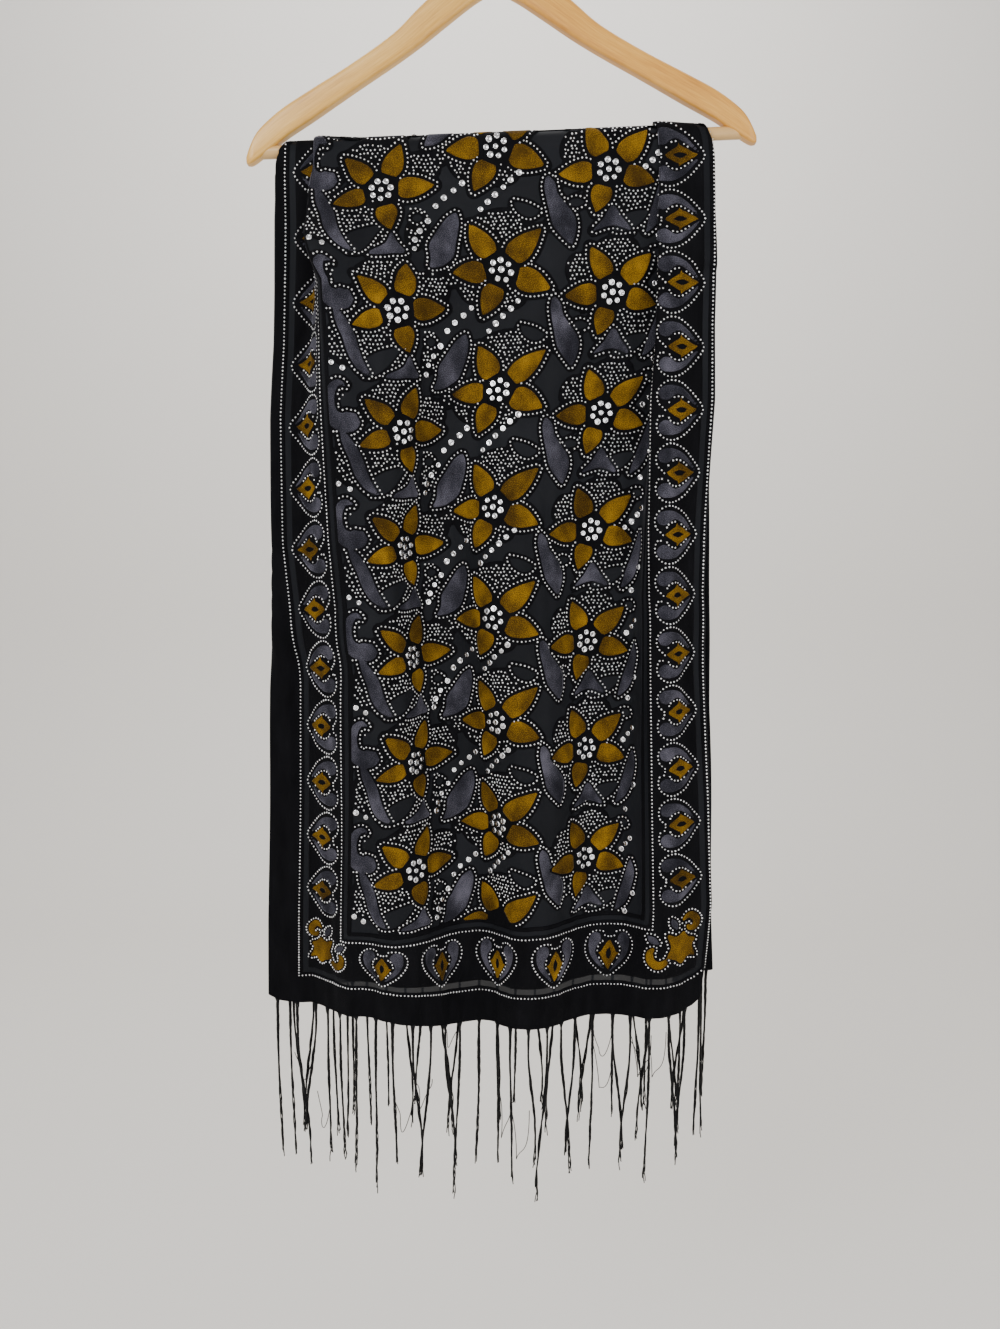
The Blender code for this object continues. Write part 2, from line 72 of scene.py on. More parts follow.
# Drop, left edge, right edge, left edge folded behind, right edge folded behind, start,
# depth and turn of the left pleat, the same of the right pleat, radius of the folds
FRONT_ROWS = (
    (0.000, -0.1760, 0.1830, 0.029, 0.030, 0.077, 0.0235, 180, 0.415, 0.0230, 180, 0.0010),
    (0.012, -0.1840, 0.1920, 0.022, 0.029, 0.077, 0.0235, 180, 0.415, 0.0200, 180, 0.0010),
    (0.030, -0.1870, 0.1950, 0.020, 0.028, 0.076, 0.0235, 176, 0.415, 0.0200, 180, 0.0010),
    (0.070, -0.1880, 0.1965, 0.019, 0.027, 0.071, 0.0270, 150, 0.413, 0.0205, 176, 0.0012),
    (0.130, -0.1895, 0.1965, 0.019, 0.026, 0.054, 0.0410, 76, 0.408, 0.0230, 150, 0.0015),
    (0.240, -0.1935, 0.1965, 0.019, 0.026, 0.048, 0.0470, 56, 0.398, 0.0280, 105, 0.0018),
    (0.350, -0.1960, 0.1930, 0.018, 0.026, 0.044, 0.0500, 44, 0.396, 0.0300, 84, 0.0022),
    (0.410, -0.1975, 0.1930, 0.011, 0.026, 0.040, 0.0540, 42, 0.394, 0.0310, 74, 0.0024),
    (0.480, -0.2010, 0.1950, 0.003, 0.026, 0.031, 0.0620, 44, 0.392, 0.0320, 64, 0.0026),
    (0.600, -0.2050, 0.2020, 0.002, 0.026, 0.034, 0.0600, 43, 0.390, 0.0330, 52, 0.0028),
    (0.700, -0.2090, 0.2060, 0.001, 0.026, 0.042, 0.0540, 46, 0.388, 0.0350, 44, 0.0030),
    (0.803, -0.2110, 0.1970, 0.001, 0.030, 0.043, 0.0530, 46, 0.386, 0.0370, 36, 0.0030),
)
BACK_ROWS = (
    (0.000, -0.1760, 0.1830, 0.029, 0.030, 0.077, 0.0235, 180, 0.415, 0.0230, 180, 0.0010),
    (0.012, -0.1840, 0.1920, 0.022, 0.029, 0.077, 0.0235, 180, 0.415, 0.0200, 180, 0.0010),
    (0.030, -0.1870, 0.1960, 0.020, 0.027, 0.077, 0.0220, 180, 0.415, 0.0200, 180, 0.0010),
    (0.160, -0.1885, 0.1985, 0.019, 0.026, 0.079, 0.0200, 180, 0.414, 0.0190, 180, 0.0013),
    (0.320, -0.1900, 0.2000, 0.019, 0.025, 0.081, 0.0185, 180, 0.412, 0.0170, 180, 0.0016),
    (0.480, -0.1930, 0.2030, 0.018, 0.023, 0.082, 0.0170, 175, 0.410, 0.0150, 175, 0.0020),
    (0.640, -0.1960, 0.2080, 0.017, 0.021, 0.084, 0.0160, 165, 0.409, 0.0140, 165, 0.0024),
    (0.772, -0.1990, 0.2125, 0.016, 0.020, 0.086, 0.0160, 145, 0.408, 0.0140, 140, 0.0028),
)
PLEAT_SOFTENING = 0.008
FULL_CURL = 0.012
# Drop, then across the cloth and how far out for crest, valley, crest and valley, and
# how far out the right edge is
FRONT_WAVES = (
    (0.000, 0.150, 0.000, 0.230, 0.000, 0.300, 0.000, 0.370, 0.000, 0.000),
    (0.030, 0.150, 0.000, 0.230, 0.000, 0.300, 0.000, 0.370, 0.000, 0.000),
    (0.130, 0.150, 0.028, 0.230, 0.004, 0.290, 0.006, 0.370, 0.000, 0.008),
    (0.240, 0.140, 0.034, 0.220, 0.002, 0.280, 0.012, 0.370, 0.000, 0.024),
    (0.350, 0.125, 0.036, 0.200, 0.000, 0.270, 0.022, 0.365, 0.000, 0.020),
    (0.480, 0.121, 0.044, 0.200, 0.002, 0.277, 0.032, 0.370, 0.000, 0.014),
    (0.600, 0.127, 0.047, 0.214, 0.002, 0.287, 0.036, 0.374, 0.000, 0.014),
    (0.700, 0.140, 0.050, 0.228, 0.006, 0.290, 0.038, 0.373, 0.002, 0.016),
    (0.803, 0.152, 0.052, 0.238, 0.012, 0.292, 0.038, 0.371, 0.004, 0.014),
)
BACK_WAVES = (
    (0.000, 0.150, 0.000, 0.220, 0.000, 0.290, 0.000, 0.370, 0.000, 0.000),
    (0.100, 0.150, 0.000, 0.220, 0.000, 0.290, 0.000, 0.370, 0.000, 0.000),
    (0.200, 0.150, 0.006, 0.220, 0.000, 0.290, 0.005, 0.370, 0.000, 0.001),
    (0.320, 0.150, 0.010, 0.220, 0.000, 0.290, 0.009, 0.370, 0.000, 0.002),
    (0.500, 0.147, 0.014, 0.218, 0.000, 0.288, 0.013, 0.368, 0.000, 0.003),
    (0.772, 0.140, 0.019, 0.215, 0.000, 0.285, 0.017, 0.365, 0.000, 0.005),
)
LEAST_WAVE = 0.9
MOST_WAVE = 3.0
FULL_SPAN = 0.0005
FRONT_HEM = (
    (0.000, 0.029), (0.010, 0.023), (0.030, 0.020), (0.100, 0.021), (0.140, 0.020),
    (0.160, 0.017), (0.180, 0.011), (0.200, 0.005), (0.220, 0.001), (0.260, 0.000),
    (0.290, 0.003), (0.320, 0.000), (0.350, -0.003), (0.385, -0.003), (0.410, 0.000),
    (0.458, 0.001), (0.472, 0.006), (0.486, 0.020), (0.510, 0.028),
)
BACK_HEM = ((0.000, 0.000), (0.255, 0.004), (0.510, 0.000))
HEM_REACH = 0.12                  # the hem's rise fades out over this height
CREASE = 0.00045                  # small soft creases in the thin shell
FINE_STEPS = 2041
LEVEL_STEP = 0.005

# Pattern, in millimetres on the flat cloth: u across, v up from the front hem
MM = 0.001
WIDE = CLOTH_WIDTH / MM
LONG = (FRONT_LENGTH + BACK_LENGTH) / MM
CELL = 2.35                       # grid of the pile's edges
OUTER_LINE = 29.0
SHEER_LINE = (32.5, 38.0)
INNER_LINE = 86.0
INNER_SHEER = (89.5, 94.0)
FIELD_EDGE = 97.0
COLUMNS = (160.0, 256.0, 352.0)
# Heights of the flowers' centres up each column of the front, and the pitch beyond them
FLOWER_ROWS = ((156, 253, 348, 445, 544, 647, 753), (192, 287, 380, 477, 579, 681, 787),
               (152, 255, 354, 454, 557, 660, 764))
ROW_PITCH = 104.0
LOWEST_PITCH = 95.0
CENTRE_DISC = 13.5                # black pile under the stones of a flower
PETAL_BASE = 14.5
PETAL_MARGIN = 6.2                # black pile left round a petal
PETAL_DOTS = 3.3                  # its dotted outline
LEAF_MARGIN = 5.0
LEAF_DOTS = 2.5
DOT_PITCH = 3.7
DOT_RADIUS = 0.95
DOT_HEIGHT = 0.5
STIPPLE_PITCH = 3.75
STIPPLE_SCATTER = 0.75
STONE_RADIUS = 2.75
STONE_HEIGHT = 1.6
STONE_RING = 8.2
BLACK_PILE = 0.55
COLOUR_PILE = 0.95
MEDALLION_AT = 60.0
SIDE_HEIGHTS = (132.5, 51.3, 0.17)   # lowest side medallion, pitch there, growth of the pitch
FRONT_MEDALLIONS = 13
BACK_MEDALLIONS = 12
FULL_PITCH = 51.0                 # pitch at which a medallion is as tall as drawn
END_MEDALLIONS = 5
END_PITCH = 62.5
CORNER_AT = (57.0, 67.0)

# Petal: share of its length, share of its half width
PETAL_FORM = ((0.0, 0.68), (0.07, 0.84), (0.18, 0.98), (0.30, 1.0), (0.45, 0.92), (0.60, 0.76),
              (0.75, 0.52), (0.88, 0.27), (1.0, 0.02))
# Petals of a flower in each column: angle of the tip, reach, half width
PETALS = (
    ((139, 44, 8.2), (69, 42, 9.2), (4, 45, 9.2), (-76, 37, 9.0), (-163, 42, 7.8)),
    ((117, 46, 9.8), (41, 52, 9.8), (-23, 45, 10.2), (-116, 41, 9.8), (182, 43, 9.0)),
    ((114, 42, 9.2), (42, 46, 9.4), (-17, 41, 9.2), (-107, 38, 9.0), (-176, 43, 9.0)),
)
# Stippled areas by a flower: column, then their corners from its centre
STIPPLED = (
    (0, ((-36, 27), (-33, 32), (-25, 38), (-11, 45), (0, 49), (10, 50), (14, 38), (6, 13), (-12, 12))),
    (0, ((15, 7), (19, 28), (33, 31), (45, 26), (47, 12), (30, 8))),
    (0, ((-46, -16), (-40, -32), (-27, -43), (-8, -47), (6, -41), (6, -13), (-14, -8))),
    (0, ((-61, -16), (-63, -29), (-58, -40), (-48, -46), (-43, -36), (-46, -22), (-53, -8))),
    (0, ((30, -24), (40, -30), (37, -44), (27, -54), (21, -44), (24, -30))),
    (1, ((-24, 24), (-26, 36), (-16, 47), (-2, 52), (12, 52), (24, 45), (27, 33), (14, 13), (-8, 13))),
    (1, ((-40, -8), (-37, -19), (-28, -26), (-17, -24), (-10, -11), (-20, -6))),
    (1, ((-7, -14), (-6, -28), (5, -33), (18, -28), (20, -14), (10, -11))),
    (1, ((-44, 8), (-52, 4), (-50, -10), (-42, -12), (-40, 2))),
    (2, ((-13, 22), (-13, 38), (-2, 46), (12, 46), (22, 41), (23, 27), (10, 13), (-4, 13))),
    (2, ((-18, 8), (-37, 9), (-40, 20), (-33, 31), (-22, 31), (-15, 20))),
    (2, ((2, -14), (3, -35), (14, -43), (27, -40), (34, -28), (31, -15), (15, -11))),
)
# Slate leaves and scrolls by a flower: column, then points with x, y and half width
LEAVES = (
    (0, ((-55, 3, 0.6), (-50, -8, 4.2), (-44, -21, 5.4), (-40, -35, 5.4), (-34, -47, 4.0),
         (-26, -55, 0.6))),
    (0, ((-48, 40, 0.8), (-55, 43, 2.8), (-61, 36, 4.0), (-63, 25, 4.8), (-61, 15, 6.0),
         (-54, 9, 7.8), (-46, 9, 8.6), (-39, 12, 4.5))),
    (1, ((-33, 51, 1.0), (-35, 45, 5.4), (-38, 37, 7.8), (-42, 28, 9.4), (-47, 18, 10.6),
         (-53, 9, 6.0), (-61, 3, 0.6))),
    (1, ((44, 79, 1.4), (46, 72, 4.6), (48, 62, 5.2), (53, 51, 7.8), (58, 40, 9.8), (61, 30, 7.0),
         (63, 19, 0.6))),
    (2, ((47, -3, 0.6), (47, -14, 4.4), (44, -26, 5.2), (40, -38, 5.2), (36, -47, 3.8), (31, -55, 0.6))),
)
# Slate wedges by a flower: column, then their corners from its centre
WEDGES = (
    (0, ((9, -38), (3, -48), (-14, -56), (-4, -58), (6, -57), (18, -56), (13, -47))),
    (2, ((3, 74), (-5, 62), (-14, 52), (-4, 55), (6, 56), (19, 51), (11, 63))),
)
# Dotted arcs by a flower: column, then their points from its centre
ARCS = (
    (0, ((25, -17), (32, -17), (38, -21), (40, -28), (38, -35))),
    (0, ((-51, 32), (-55, 27), (-54, 21), (-49, 20))),
)
# Sheer drops ringed with dots: column, then points with x, y and half width
WINDOWS = (
    (0, ((3, -31, 0.5), (-6, -36, 4.0), (-16, -42, 7.6), (-26, -48, 7.6), (-33, -53, 2.6))),
    (0, ((27, -25, 1.0), (31, -25, 3.4), (35, -25, 1.0))),
    (1, ((16, -47, 0.6), (22, -52, 4.0), (30, -56, 4.6), (37, -56, 1.0))),
    (2, ((33, -36, 0.5), (26, -40, 4.6), (18, -44, 6.6), (10, -48, 5.6), (4, -52, 1.4))),
    (2, ((35, 34, 1.0), (39, 32, 3.2), (43, 31, 1.0))),
    (2, ((-35, -28, 1.0), (-28, -27, 3.4), (-21, -27, 1.0))),
)
# Stones by a flower: column, then their places from its centre
STONES = (
    (0, ((-63, -19), (-67, -28), (-65, -37), (-59, -44), (-50, -49), (46, -15), (53, -8), (61, -2),
         (68, 4), (40, -28), (33, -37), (28, -45), (26, -53))),
    (1, ((-12, 53), (-6, 59), (0, 65), (7, 71), (13, 77), (20, 83))),
    (2, ((47, 18), (42, 12), (37, 6), (31, 1), (49, -27), (50, -36), (45, -44), (41, 46))),
)
# Medallion: its outline, and ribbons whose points have x, y and half width
MEDALLION = ((22, 0), (15.5, 9.5), (7, 17.5), (-3, 22.5), (-12, 22), (-18.5, 15.5), (-18, 7), (-12.5, 1.5))
COMMA = ((-18, 11.5, 2.6), (-15, 13, 5.4), (-11, 14.5, 5.8), (-6, 16, 4.2), (0, 15.6, 2.8),
         (7, 11.8, 2.1), (13, 6.8, 1.4), (18, 2.6, 0.5))
EYE = ((-11, 0, 0.6), (-6, 0, 3.8), (-1, 0, 6.6), (4, 0, 7.2), (9, 0, 4.8), (13, 0, 2.4), (17.5, 0, 0.6))
SLIT = ((-4.5, 0, 0.4), (2, 0, 2.5), (8.5, 0, 0.4))
SPUR = ((2.5, 5, 2.4), (2, 8, 1.3), (1.5, 10.5, 0.4))
CORNER_LEAF = ((15, 14), (6, 11), (-2, 15), (-7, 9), (-15, 5), (-12, -2), (-17, -14), (-9, -11),
               (-2, -17), (6, -12), (14, -8), (11, 1))
CORNER_HOOKS = (((0, 26, 1.2), (-8, 30, 3.2), (-15, 24, 3.6), (-14, 17, 3.2), (-8, 17, 2.2), (-6, 21, 1.0)),
                ((14, -12, 2.6), (22, -16, 3.8), (29, -11, 3.6), (30, -3, 3.0), (26, 1, 1.0)))
CORNER_OVALS = (((12, 29, 0.8), (9, 24, 3.0), (6, 18, 0.8)), ((33, 13, 0.8), (28, 9, 3.2), (22, 5, 0.8)))

# Fringe
CLUSTERS = 27
CLUSTER_INSET = 8.0
THREADS = 5
THREAD_RADIUS = 0.0006
BUNDLE_RADIUS = 0.00085
THREAD_STEPS = 36
THREAD_SIDES = 4
FRINGE_LENGTH = 0.150
FRINGE_VARIATION = 0.022
STRAND_SWAY = 0.003
JOINED = (1, 8, 10, 15, 17, 20, 23)   # clusters that lean over to the next one and catch it

STRAYS = 6                            # single threads that hang in a loop

# Cut pile: stops of its colour, sheen, tint of the sheen, share of fine grain, stretch of its nap
PILES = {
    "black": (((0.30, (0.001, 0.001, 0.0015)), (0.62, (0.004, 0.004, 0.0052)),
               (0.80, (0.011, 0.011, 0.014))), 0.07, (0.5, 0.52, 0.62), 0.35, (5.0, 1.6)),
    "gold": (((0.39, (0.014, 0.007, 0.0015)), (0.50, (0.073, 0.037, 0.0038)),
              (0.62, (0.30, 0.16, 0.0075))), 0.16, (0.9, 0.7, 0.3), 0.62, (3.0, 2.2)),
    "slate": (((0.38, (0.006, 0.006, 0.009)), (0.50, (0.021, 0.021, 0.028)),
               (0.64, (0.11, 0.105, 0.135))), 0.32, (0.75, 0.75, 0.9), 0.55, (3.0, 2.0)),
}

# Stage, lights and camera, in metres
FLOOR_Z = -1.62
WALL_Y = 2.6
STAGE_BEND = 0.8
STAGE_FRONT = -3.0
STAGE_TOP = 2.2
STAGE_HALF_WIDTH = 4.5
BEND_STEPS = 12
# Name, place, the point that it faces, size, power
LIGHTS = (
    ("key", (-1.3, -2.1, 0.7), (0, 0, -0.6), 1.4, 53),
    ("fill", (1.6, -1.9, -0.2), (0, 0, -0.7), 1.6, 25),
    ("low", (0.2, -2.2, -1.4), (0, 0, -0.8), 1.2, 10),
    ("wall", (0, 0.9, 1.5), (0, 2.6, -0.5), 2.0, 60),
)
CAMERA_AT = (0.009, -1.0, -0.590)
CAMERA_TILT = math.radians(6.4)       # how far it looks down
FOCAL_PIXELS = 1092.7
FRAME_HEIGHT = 1329.0
SENSOR_HEIGHT = 36.0

rng = np.random.default_rng(27)


def smooth(value):
    value = np.clip(value, 0.0, 1.0)
    return value * value * (3.0 - 2.0 * value)


def read_row(rows, drop):
    drops = [row[0] for row in rows]
    return [float(np.interp(drop, drops, column)) for column in zip(*rows)][1:]


def folds_at(rows, drop):
    """The folds of one section: centre, half length of the turn, and turn."""
    (left, right, curl_l, curl_r, start_l, deep_l, turn_l, start_r, deep_r, turn_r,
     radius) = read_row(rows, drop)
    curl_turn = 180 * min(1.0, curl_l / FULL_CURL)
    folds = [(curl_l, math.pi * radius / 2 + (1 - curl_turn / 180) * FULL_CURL, -curl_turn)]
    for start, deep, turn in ((start_l, deep_l, turn_l), (start_r, deep_r, turn_r)):
        half = math.pi * radius / 2 + (1 - turn / 180) * PLEAT_SOFTENING
        folds.append((start, half, turn))
        folds.append((start + deep, half, -turn))
    folds.append((CLOTH_WIDTH - curl_r, math.pi * radius / 2, -180))
    return left, right, curl_turn, folds


def lobes(u, knots):
    """Heading that carries the cloth from knot to knot, a half sine between each two."""
    heading = np.zeros_like(u)
    for (start, low), (end, high) in zip(knots, knots[1:]):
        inside = (u >= start) & (u < end)
        lean = math.atan(0.5 * math.pi * (high - low) / (end - start))
        heading[inside] = lean * np.sin(math.pi * (u[inside] - start) / (end - start))
    return heading


def lay(heading, step):
    """Across and out of a line that follows the heading."""
    middle = heading[:-1] + np.diff(heading) / 2
    across = np.concatenate(([0.0], np.cumsum(np.cos(middle))))
    out = np.concatenate(([0.0], np.cumsum(np.sin(middle))))
    return across * step, out * step


def section(rows, waves, drop, length):
    """One level of the cloth: x and how far it stands out, at fine steps across."""
    u = np.linspace(0.0, CLOTH_WIDTH, FINE_STEPS)
    step = u[1] - u[0]
    left, right, curl_turn, folds = folds_at(rows, drop)
    still = np.full_like(u, curl_turn * DEG)
    for centre, half, turn in folds:
        still += turn * DEG * smooth((u - centre + half) / (2 * half))

    _, out = lay(still, step)
    ends = [folds[1][0] - folds[1][1], folds[2][0] + folds[2][1], folds[3][0] - folds[3][1],
            folds[4][0] + folds[4][1], folds[5][0] - folds[5][1]]
    before_l, after_l, before_r, after_r, _ = np.interp(ends, u, out)
    *spots, edge = read_row(waves, drop)
    field = list(zip(spots[0::2], spots[1::2]))
    valley = field[-1][1]
    wavy = lobes(u, [(ends[1], after_l - before_l)] + field + [(ends[2], valley)])
    wavy += lobes(u, [(ends[3], valley + after_r - before_r), (ends[4], edge)])

    low, high = LEAST_WAVE, MOST_WAVE
    for _ in range(24):
        strength = (low + high) / 2
        across, _ = lay(still + strength * wavy, step)
        if across.max() - across.min() > right - left + FULL_SPAN:
            low = strength
        else:
            high = strength
    across, out = lay(still + strength * wavy, step)
    out = out - out.min() - HEM_SINK * smooth(drop / length)
    span = across.max() - across.min()
    across = left + (across - across.min()) * (right - left) / span
    return across, out


class Stretch:
    """One stretch of the cloth, from the crest of the bar to its hem, on a fine grid."""

    def __init__(self, side, rows, waves, length, hem):
        self.side = side
        self.length = length
        self.hem_u, self.hem_rise = (np.array(column) for column in zip(*hem))
        count = int(length / LEVEL_STEP) + 1
        self.drops = np.linspace(0.0, length, count)
        levels = [section(rows, waves, drop, length) for drop in self.drops]
        self.across = np.array([level[0] for level in levels])
        self.out = np.array([level[1] for level in levels])

    def look_up(self, u, drop):
        row = np.clip(drop / self.drops[1], 0, len(self.drops) - 1.001)
        column = np.clip(u / CLOTH_WIDTH * (FINE_STEPS - 1), 0, FINE_STEPS - 1.001)
        i, j = row.astype(int), column.astype(int)
        a, b = row - i, column - j
        picked = []
        for grid in (self.across, self.out):
            upper = grid[i, j] * (1 - b) + grid[i, j + 1] * b
            lower = grid[i + 1, j] * (1 - b) + grid[i + 1, j + 1] * b
            picked.append(upper * (1 - a) + lower * a)
        return picked

    def place(self, u, drop, lift):
        """Points of the cloth in space, moved out by lift along its own normal."""
        rise = np.interp(u, self.hem_u, self.hem_rise)
        drop = drop - rise * smooth(1 - (self.length - drop) / HEM_REACH)
        x, d = self.look_up(u, drop)
        reach = CLOTH_WIDTH / FINE_STEPS
        right_x, right_d = self.look_up(u + reach, drop)
        left_x, left_d = self.look_up(u - reach, drop)
        lean_x, lean_d = right_x - left_x, right_d - left_d
        size = np.maximum(np.hypot(lean_x, lean_d), 1e-9)
        depth = smooth((drop - 0.03) / 0.2) * CREASE
        crease = depth * (np.sin(u * 210 + 9 * drop + 1.3 * np.sin(drop * 14))
                          * np.sin(drop * 31 + u * 17) + 0.6 * np.sin(u * 390 - drop * 23))
        lift = lift + crease
        x = x - lift * lean_d / size
        d = d + lift * lean_x / size
        radius = BAR_RADIUS + BAR_GAP + WALL / 2
        quarter = math.pi * radius / 2
        angle = np.clip(drop / radius, 0, math.pi / 2)
        y = self.side * (radius + d) * np.sin(angle)
        z = np.where(drop < quarter, (radius + d) * np.cos(angle), quarter - drop)
        z = z - BAR_DROP / math.cos(TILT) + x * math.tan(TILT)
        return np.stack([x, y, z], axis=-1)


FRONT = Stretch(-1, FRONT_ROWS, FRONT_WAVES, FRONT_LENGTH, FRONT_HEM)
BACK = Stretch(1, BACK_ROWS, BACK_WAVES, BACK_LENGTH, BACK_HEM)
CREST = FRONT_LENGTH / MM


def on_cloth(u, v, lift=0.0):
    """Pattern places in millimetres, and a height above the cloth, to points in metres."""
    u, v, lift = np.broadcast_arrays(np.asarray(u, float), np.asarray(v, float), lift)
    u = np.clip(u, 0, WIDE) * MM
    spots = np.empty(u.shape + (3,))
    front = v <= CREST
    for stretch, chosen in ((FRONT, front), (BACK, ~front)):
        drop = np.abs(v[chosen] - CREST) * MM
        spots[chosen] = stretch.place(u[chosen], drop, lift[chosen] * MM)
    return spots


def frames_on_cloth(u, v, lift):
    """Centre, two tangents and the outward normal at each place."""
    here = on_cloth(u, v, lift)
    aside = on_cloth(u + 0.6, v, lift) - on_cloth(u - 0.6, v, lift)
    along = on_cloth(u, v + 0.6, lift) - on_cloth(u, v - 0.6, lift)
    aside /= np.maximum(np.linalg.norm(aside, axis=1, keepdims=True), 1e-9)
    normal = np.cross(aside, along)
    normal /= np.maximum(np.linalg.norm(normal, axis=1, keepdims=True), 1e-9)
    along = np.cross(normal, aside)
    return here, aside, along, normal


# Meshes

def mesh_piece(name, points, faces, shade, uv=None, soft=True):
    """A mesh object from arrays of points and of faces that all have the same size."""
    points = np.asarray(points, dtype=np.float32)
    faces = np.asarray(faces, dtype=np.int32)
    corners = faces.shape[1]
    mesh = bpy.data.meshes.new(name)
    mesh.vertices.add(len(points))
    mesh.vertices.foreach_set("co", points.ravel())
    mesh.loops.add(faces.size)
    mesh.loops.foreach_set("vertex_index", faces.ravel())
    mesh.polygons.add(len(faces))
    mesh.polygons.foreach_set("loop_start", np.arange(len(faces), dtype=np.int32) * corners)
    mesh.update(calc_edges=True)
    if uv is not None:
        layer = mesh.uv_layers.new(name="flat")
        layer.data.foreach_set("uv", np.asarray(uv, dtype=np.float32)[faces.ravel()].ravel())
    mesh.validate()
    if soft:
        mesh.shade_smooth()
    mesh.materials.append(shade)
    piece = bpy.data.objects.new(name, mesh)
    bpy.context.scene.collection.objects.link(piece)
    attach(piece, BODY)
    return piece


def flat_uv(u, v):
    return np.stack([np.asarray(u) / 100.0, np.asarray(v) / 100.0], axis=-1)


# Outlines

def curve_through(points, steps=5, closed=False):
    """A smooth line through points of any width, by Catmull and Rom's rule."""
    points = np.asarray(points, float)
    if closed:
        padded = np.vstack([points[-1:], points, points[:2]])
    else:
        padded = np.vstack([2 * points[0] - points[1], points, 2 * points[-1] - points[-2]])
    share = np.linspace(0, 1, steps, endpoint=False)[:, None]
    line = []
    for a, b, c, d in zip(padded, padded[1:], padded[2:], padded[3:]):
        line.append(0.5 * (2 * b + (c - a) * share + (2 * a - 5 * b + 4 * c - d) * share ** 2
                           + (3 * b - a - 3 * c + d) * share ** 3))
    if not closed:
        line.append(points[-1:])
    return np.vstack(line)


def ribbon(points):
    """The outline of a leaf or scroll whose middle line and half widths are given."""
    line = curve_through(points)
    middle, half = line[:, :2], np.maximum(line[:, 2:], 0.3)
    heading = np.gradient(middle, axis=0)
    heading /= np.linalg.norm(heading, axis=1, keepdims=True)
    side = np.stack([-heading[:, 1], heading[:, 0]], axis=1)
    return np.vstack([middle + side * half, (middle - side * half)[::-1]])


def petal(angle, reach, half):
    """A pointed petal, its short straight base by the stones and its tip at reach."""
    share, wide = np.array(PETAL_FORM).T
    along = PETAL_BASE + (reach - PETAL_BASE) * share
    side = curve_through(np.stack([along, half * wide], axis=1), 2)
    return turned(np.vstack([side, (side * (1, -1))[::-1]]), angle)


def turned(shape, angle, at=(0, 0), flip=1):
    c, s = math.cos(math.radians(angle)), math.sin(math.radians(angle))
    shape = np.asarray(shape, float)[:, :2] * (1, flip)
    return shape @ np.array([[c, s], [-s, c]]) + at


def signed_area(shape):
    x, y = shape[:, 0], shape[:, 1]
    return 0.5 * float(np.sum(x * np.roll(y, -1) - y * np.roll(x, -1)))


def grown(shape, by):
    """The outline moved outward."""
    ahead, behind = np.roll(shape, -1, axis=0), np.roll(shape, 1, axis=0)
    heading = ahead - behind
    heading /= np.maximum(np.linalg.norm(heading, axis=1, keepdims=True), 1e-6)
    way = 1 if signed_area(shape) > 0 else -1
    return shape + way * by * np.stack([heading[:, 1], -heading[:, 0]], axis=1)


def spaced(line, pitch, closed=True):
    """Places at an even pitch along a line."""
    if closed:
        line = np.vstack([line, line[:1]])
    run = np.concatenate(([0.0], np.cumsum(np.linalg.norm(np.diff(line, axis=0), axis=1))))
    count = max(int(round(run[-1] / pitch)), 1)
    at = np.linspace(0, run[-1], count, endpoint=not closed)
    return np.stack([np.interp(at, run, line[:, 0]), np.interp(at, run, line[:, 1])], axis=1)


class Field:
    """Signed distance in millimetres to the nearest outline of one kind, on the flat grid."""

    def __init__(self):
        self.u = np.arange(0, WIDE + CELL / 2, CELL)
        self.v = np.arange(0, LONG + CELL / 2, CELL)
        self.distance = np.full((len(self.v), len(self.u)), 99.0)

    def add(self, shape, margin=10.0):
        low = shape.min(axis=0) - margin
        high = shape.max(axis=0) + margin
        i0, i1 = np.searchsorted(self.v, (low[1], high[1]))
        j0, j1 = np.searchsorted(self.u, (low[0], high[0]))
        if i0 == i1 or j0 == j1:
            return
        spots = np.stack(np.meshgrid(self.u[j0:j1], self.v[i0:i1]), axis=-1)
        start, end = shape, np.roll(shape, -1, axis=0)
        nearest = np.full(spots.shape[:2], 1e9)
        inside = np.zeros(spots.shape[:2], bool)
        for a, b in zip(start, end):
            edge = b - a
            to = spots - a
            share = np.clip((to @ edge) / max(edge @ edge, 1e-9), 0, 1)
            nearest = np.minimum(nearest, ((to - share[..., None] * edge) ** 2).sum(axis=-1))
            crosses = (a[1] > spots[..., 1]) != (b[1] > spots[..., 1])
            if abs(edge[1]) > 1e-9:
                inside ^= crosses & (spots[..., 0] < a[0] + (spots[..., 1] - a[1]) * edge[0] / edge[1])
        signed = np.sqrt(nearest) * np.where(inside, -1, 1)
        window = self.distance[i0:i1, j0:j1]
        np.minimum(window, signed, out=window)

    def at(self, spots):
        i = np.clip(np.rint(spots[:, 1] / CELL).astype(int), 0, len(self.v) - 1)
        j = np.clip(np.rint(spots[:, 0] / CELL).astype(int), 0, len(self.u) - 1)
        return self.distance[i, j]


def edge_distance(u, v):
    return np.minimum(np.minimum(u, WIDE - u), np.minimum(v, LONG - v))


# The pattern's outlines, dots and stones

gold, slate, stippled, windows, slits, discs = [Field() for _ in range(6)]
dots, stones = [], []


def in_field(spots, inset=0.0):
    return edge_distance(spots[:, 0], spots[:, 1]) > FIELD_EDGE + inset


def clipped(shape):
    """A field outline cut off straight at the field's edge."""
    low = FIELD_EDGE
    return np.stack([np.clip(shape[:, 0], low, WIDE - low),
                     np.clip(shape[:, 1], low, LONG - low)], axis=1)


def shape_shows(shape):
    return in_field(shape, 2.0).mean() > 0.2


def add_outline(field, shape, away, pitch=DOT_PITCH):
    """A shape of the field and the dots round it."""
    if not shape_shows(shape):
        return
    field.add(clipped(shape))
    ring = spaced(grown(shape, away), pitch)
    dots.append(ring[in_field(ring, 1.5)])


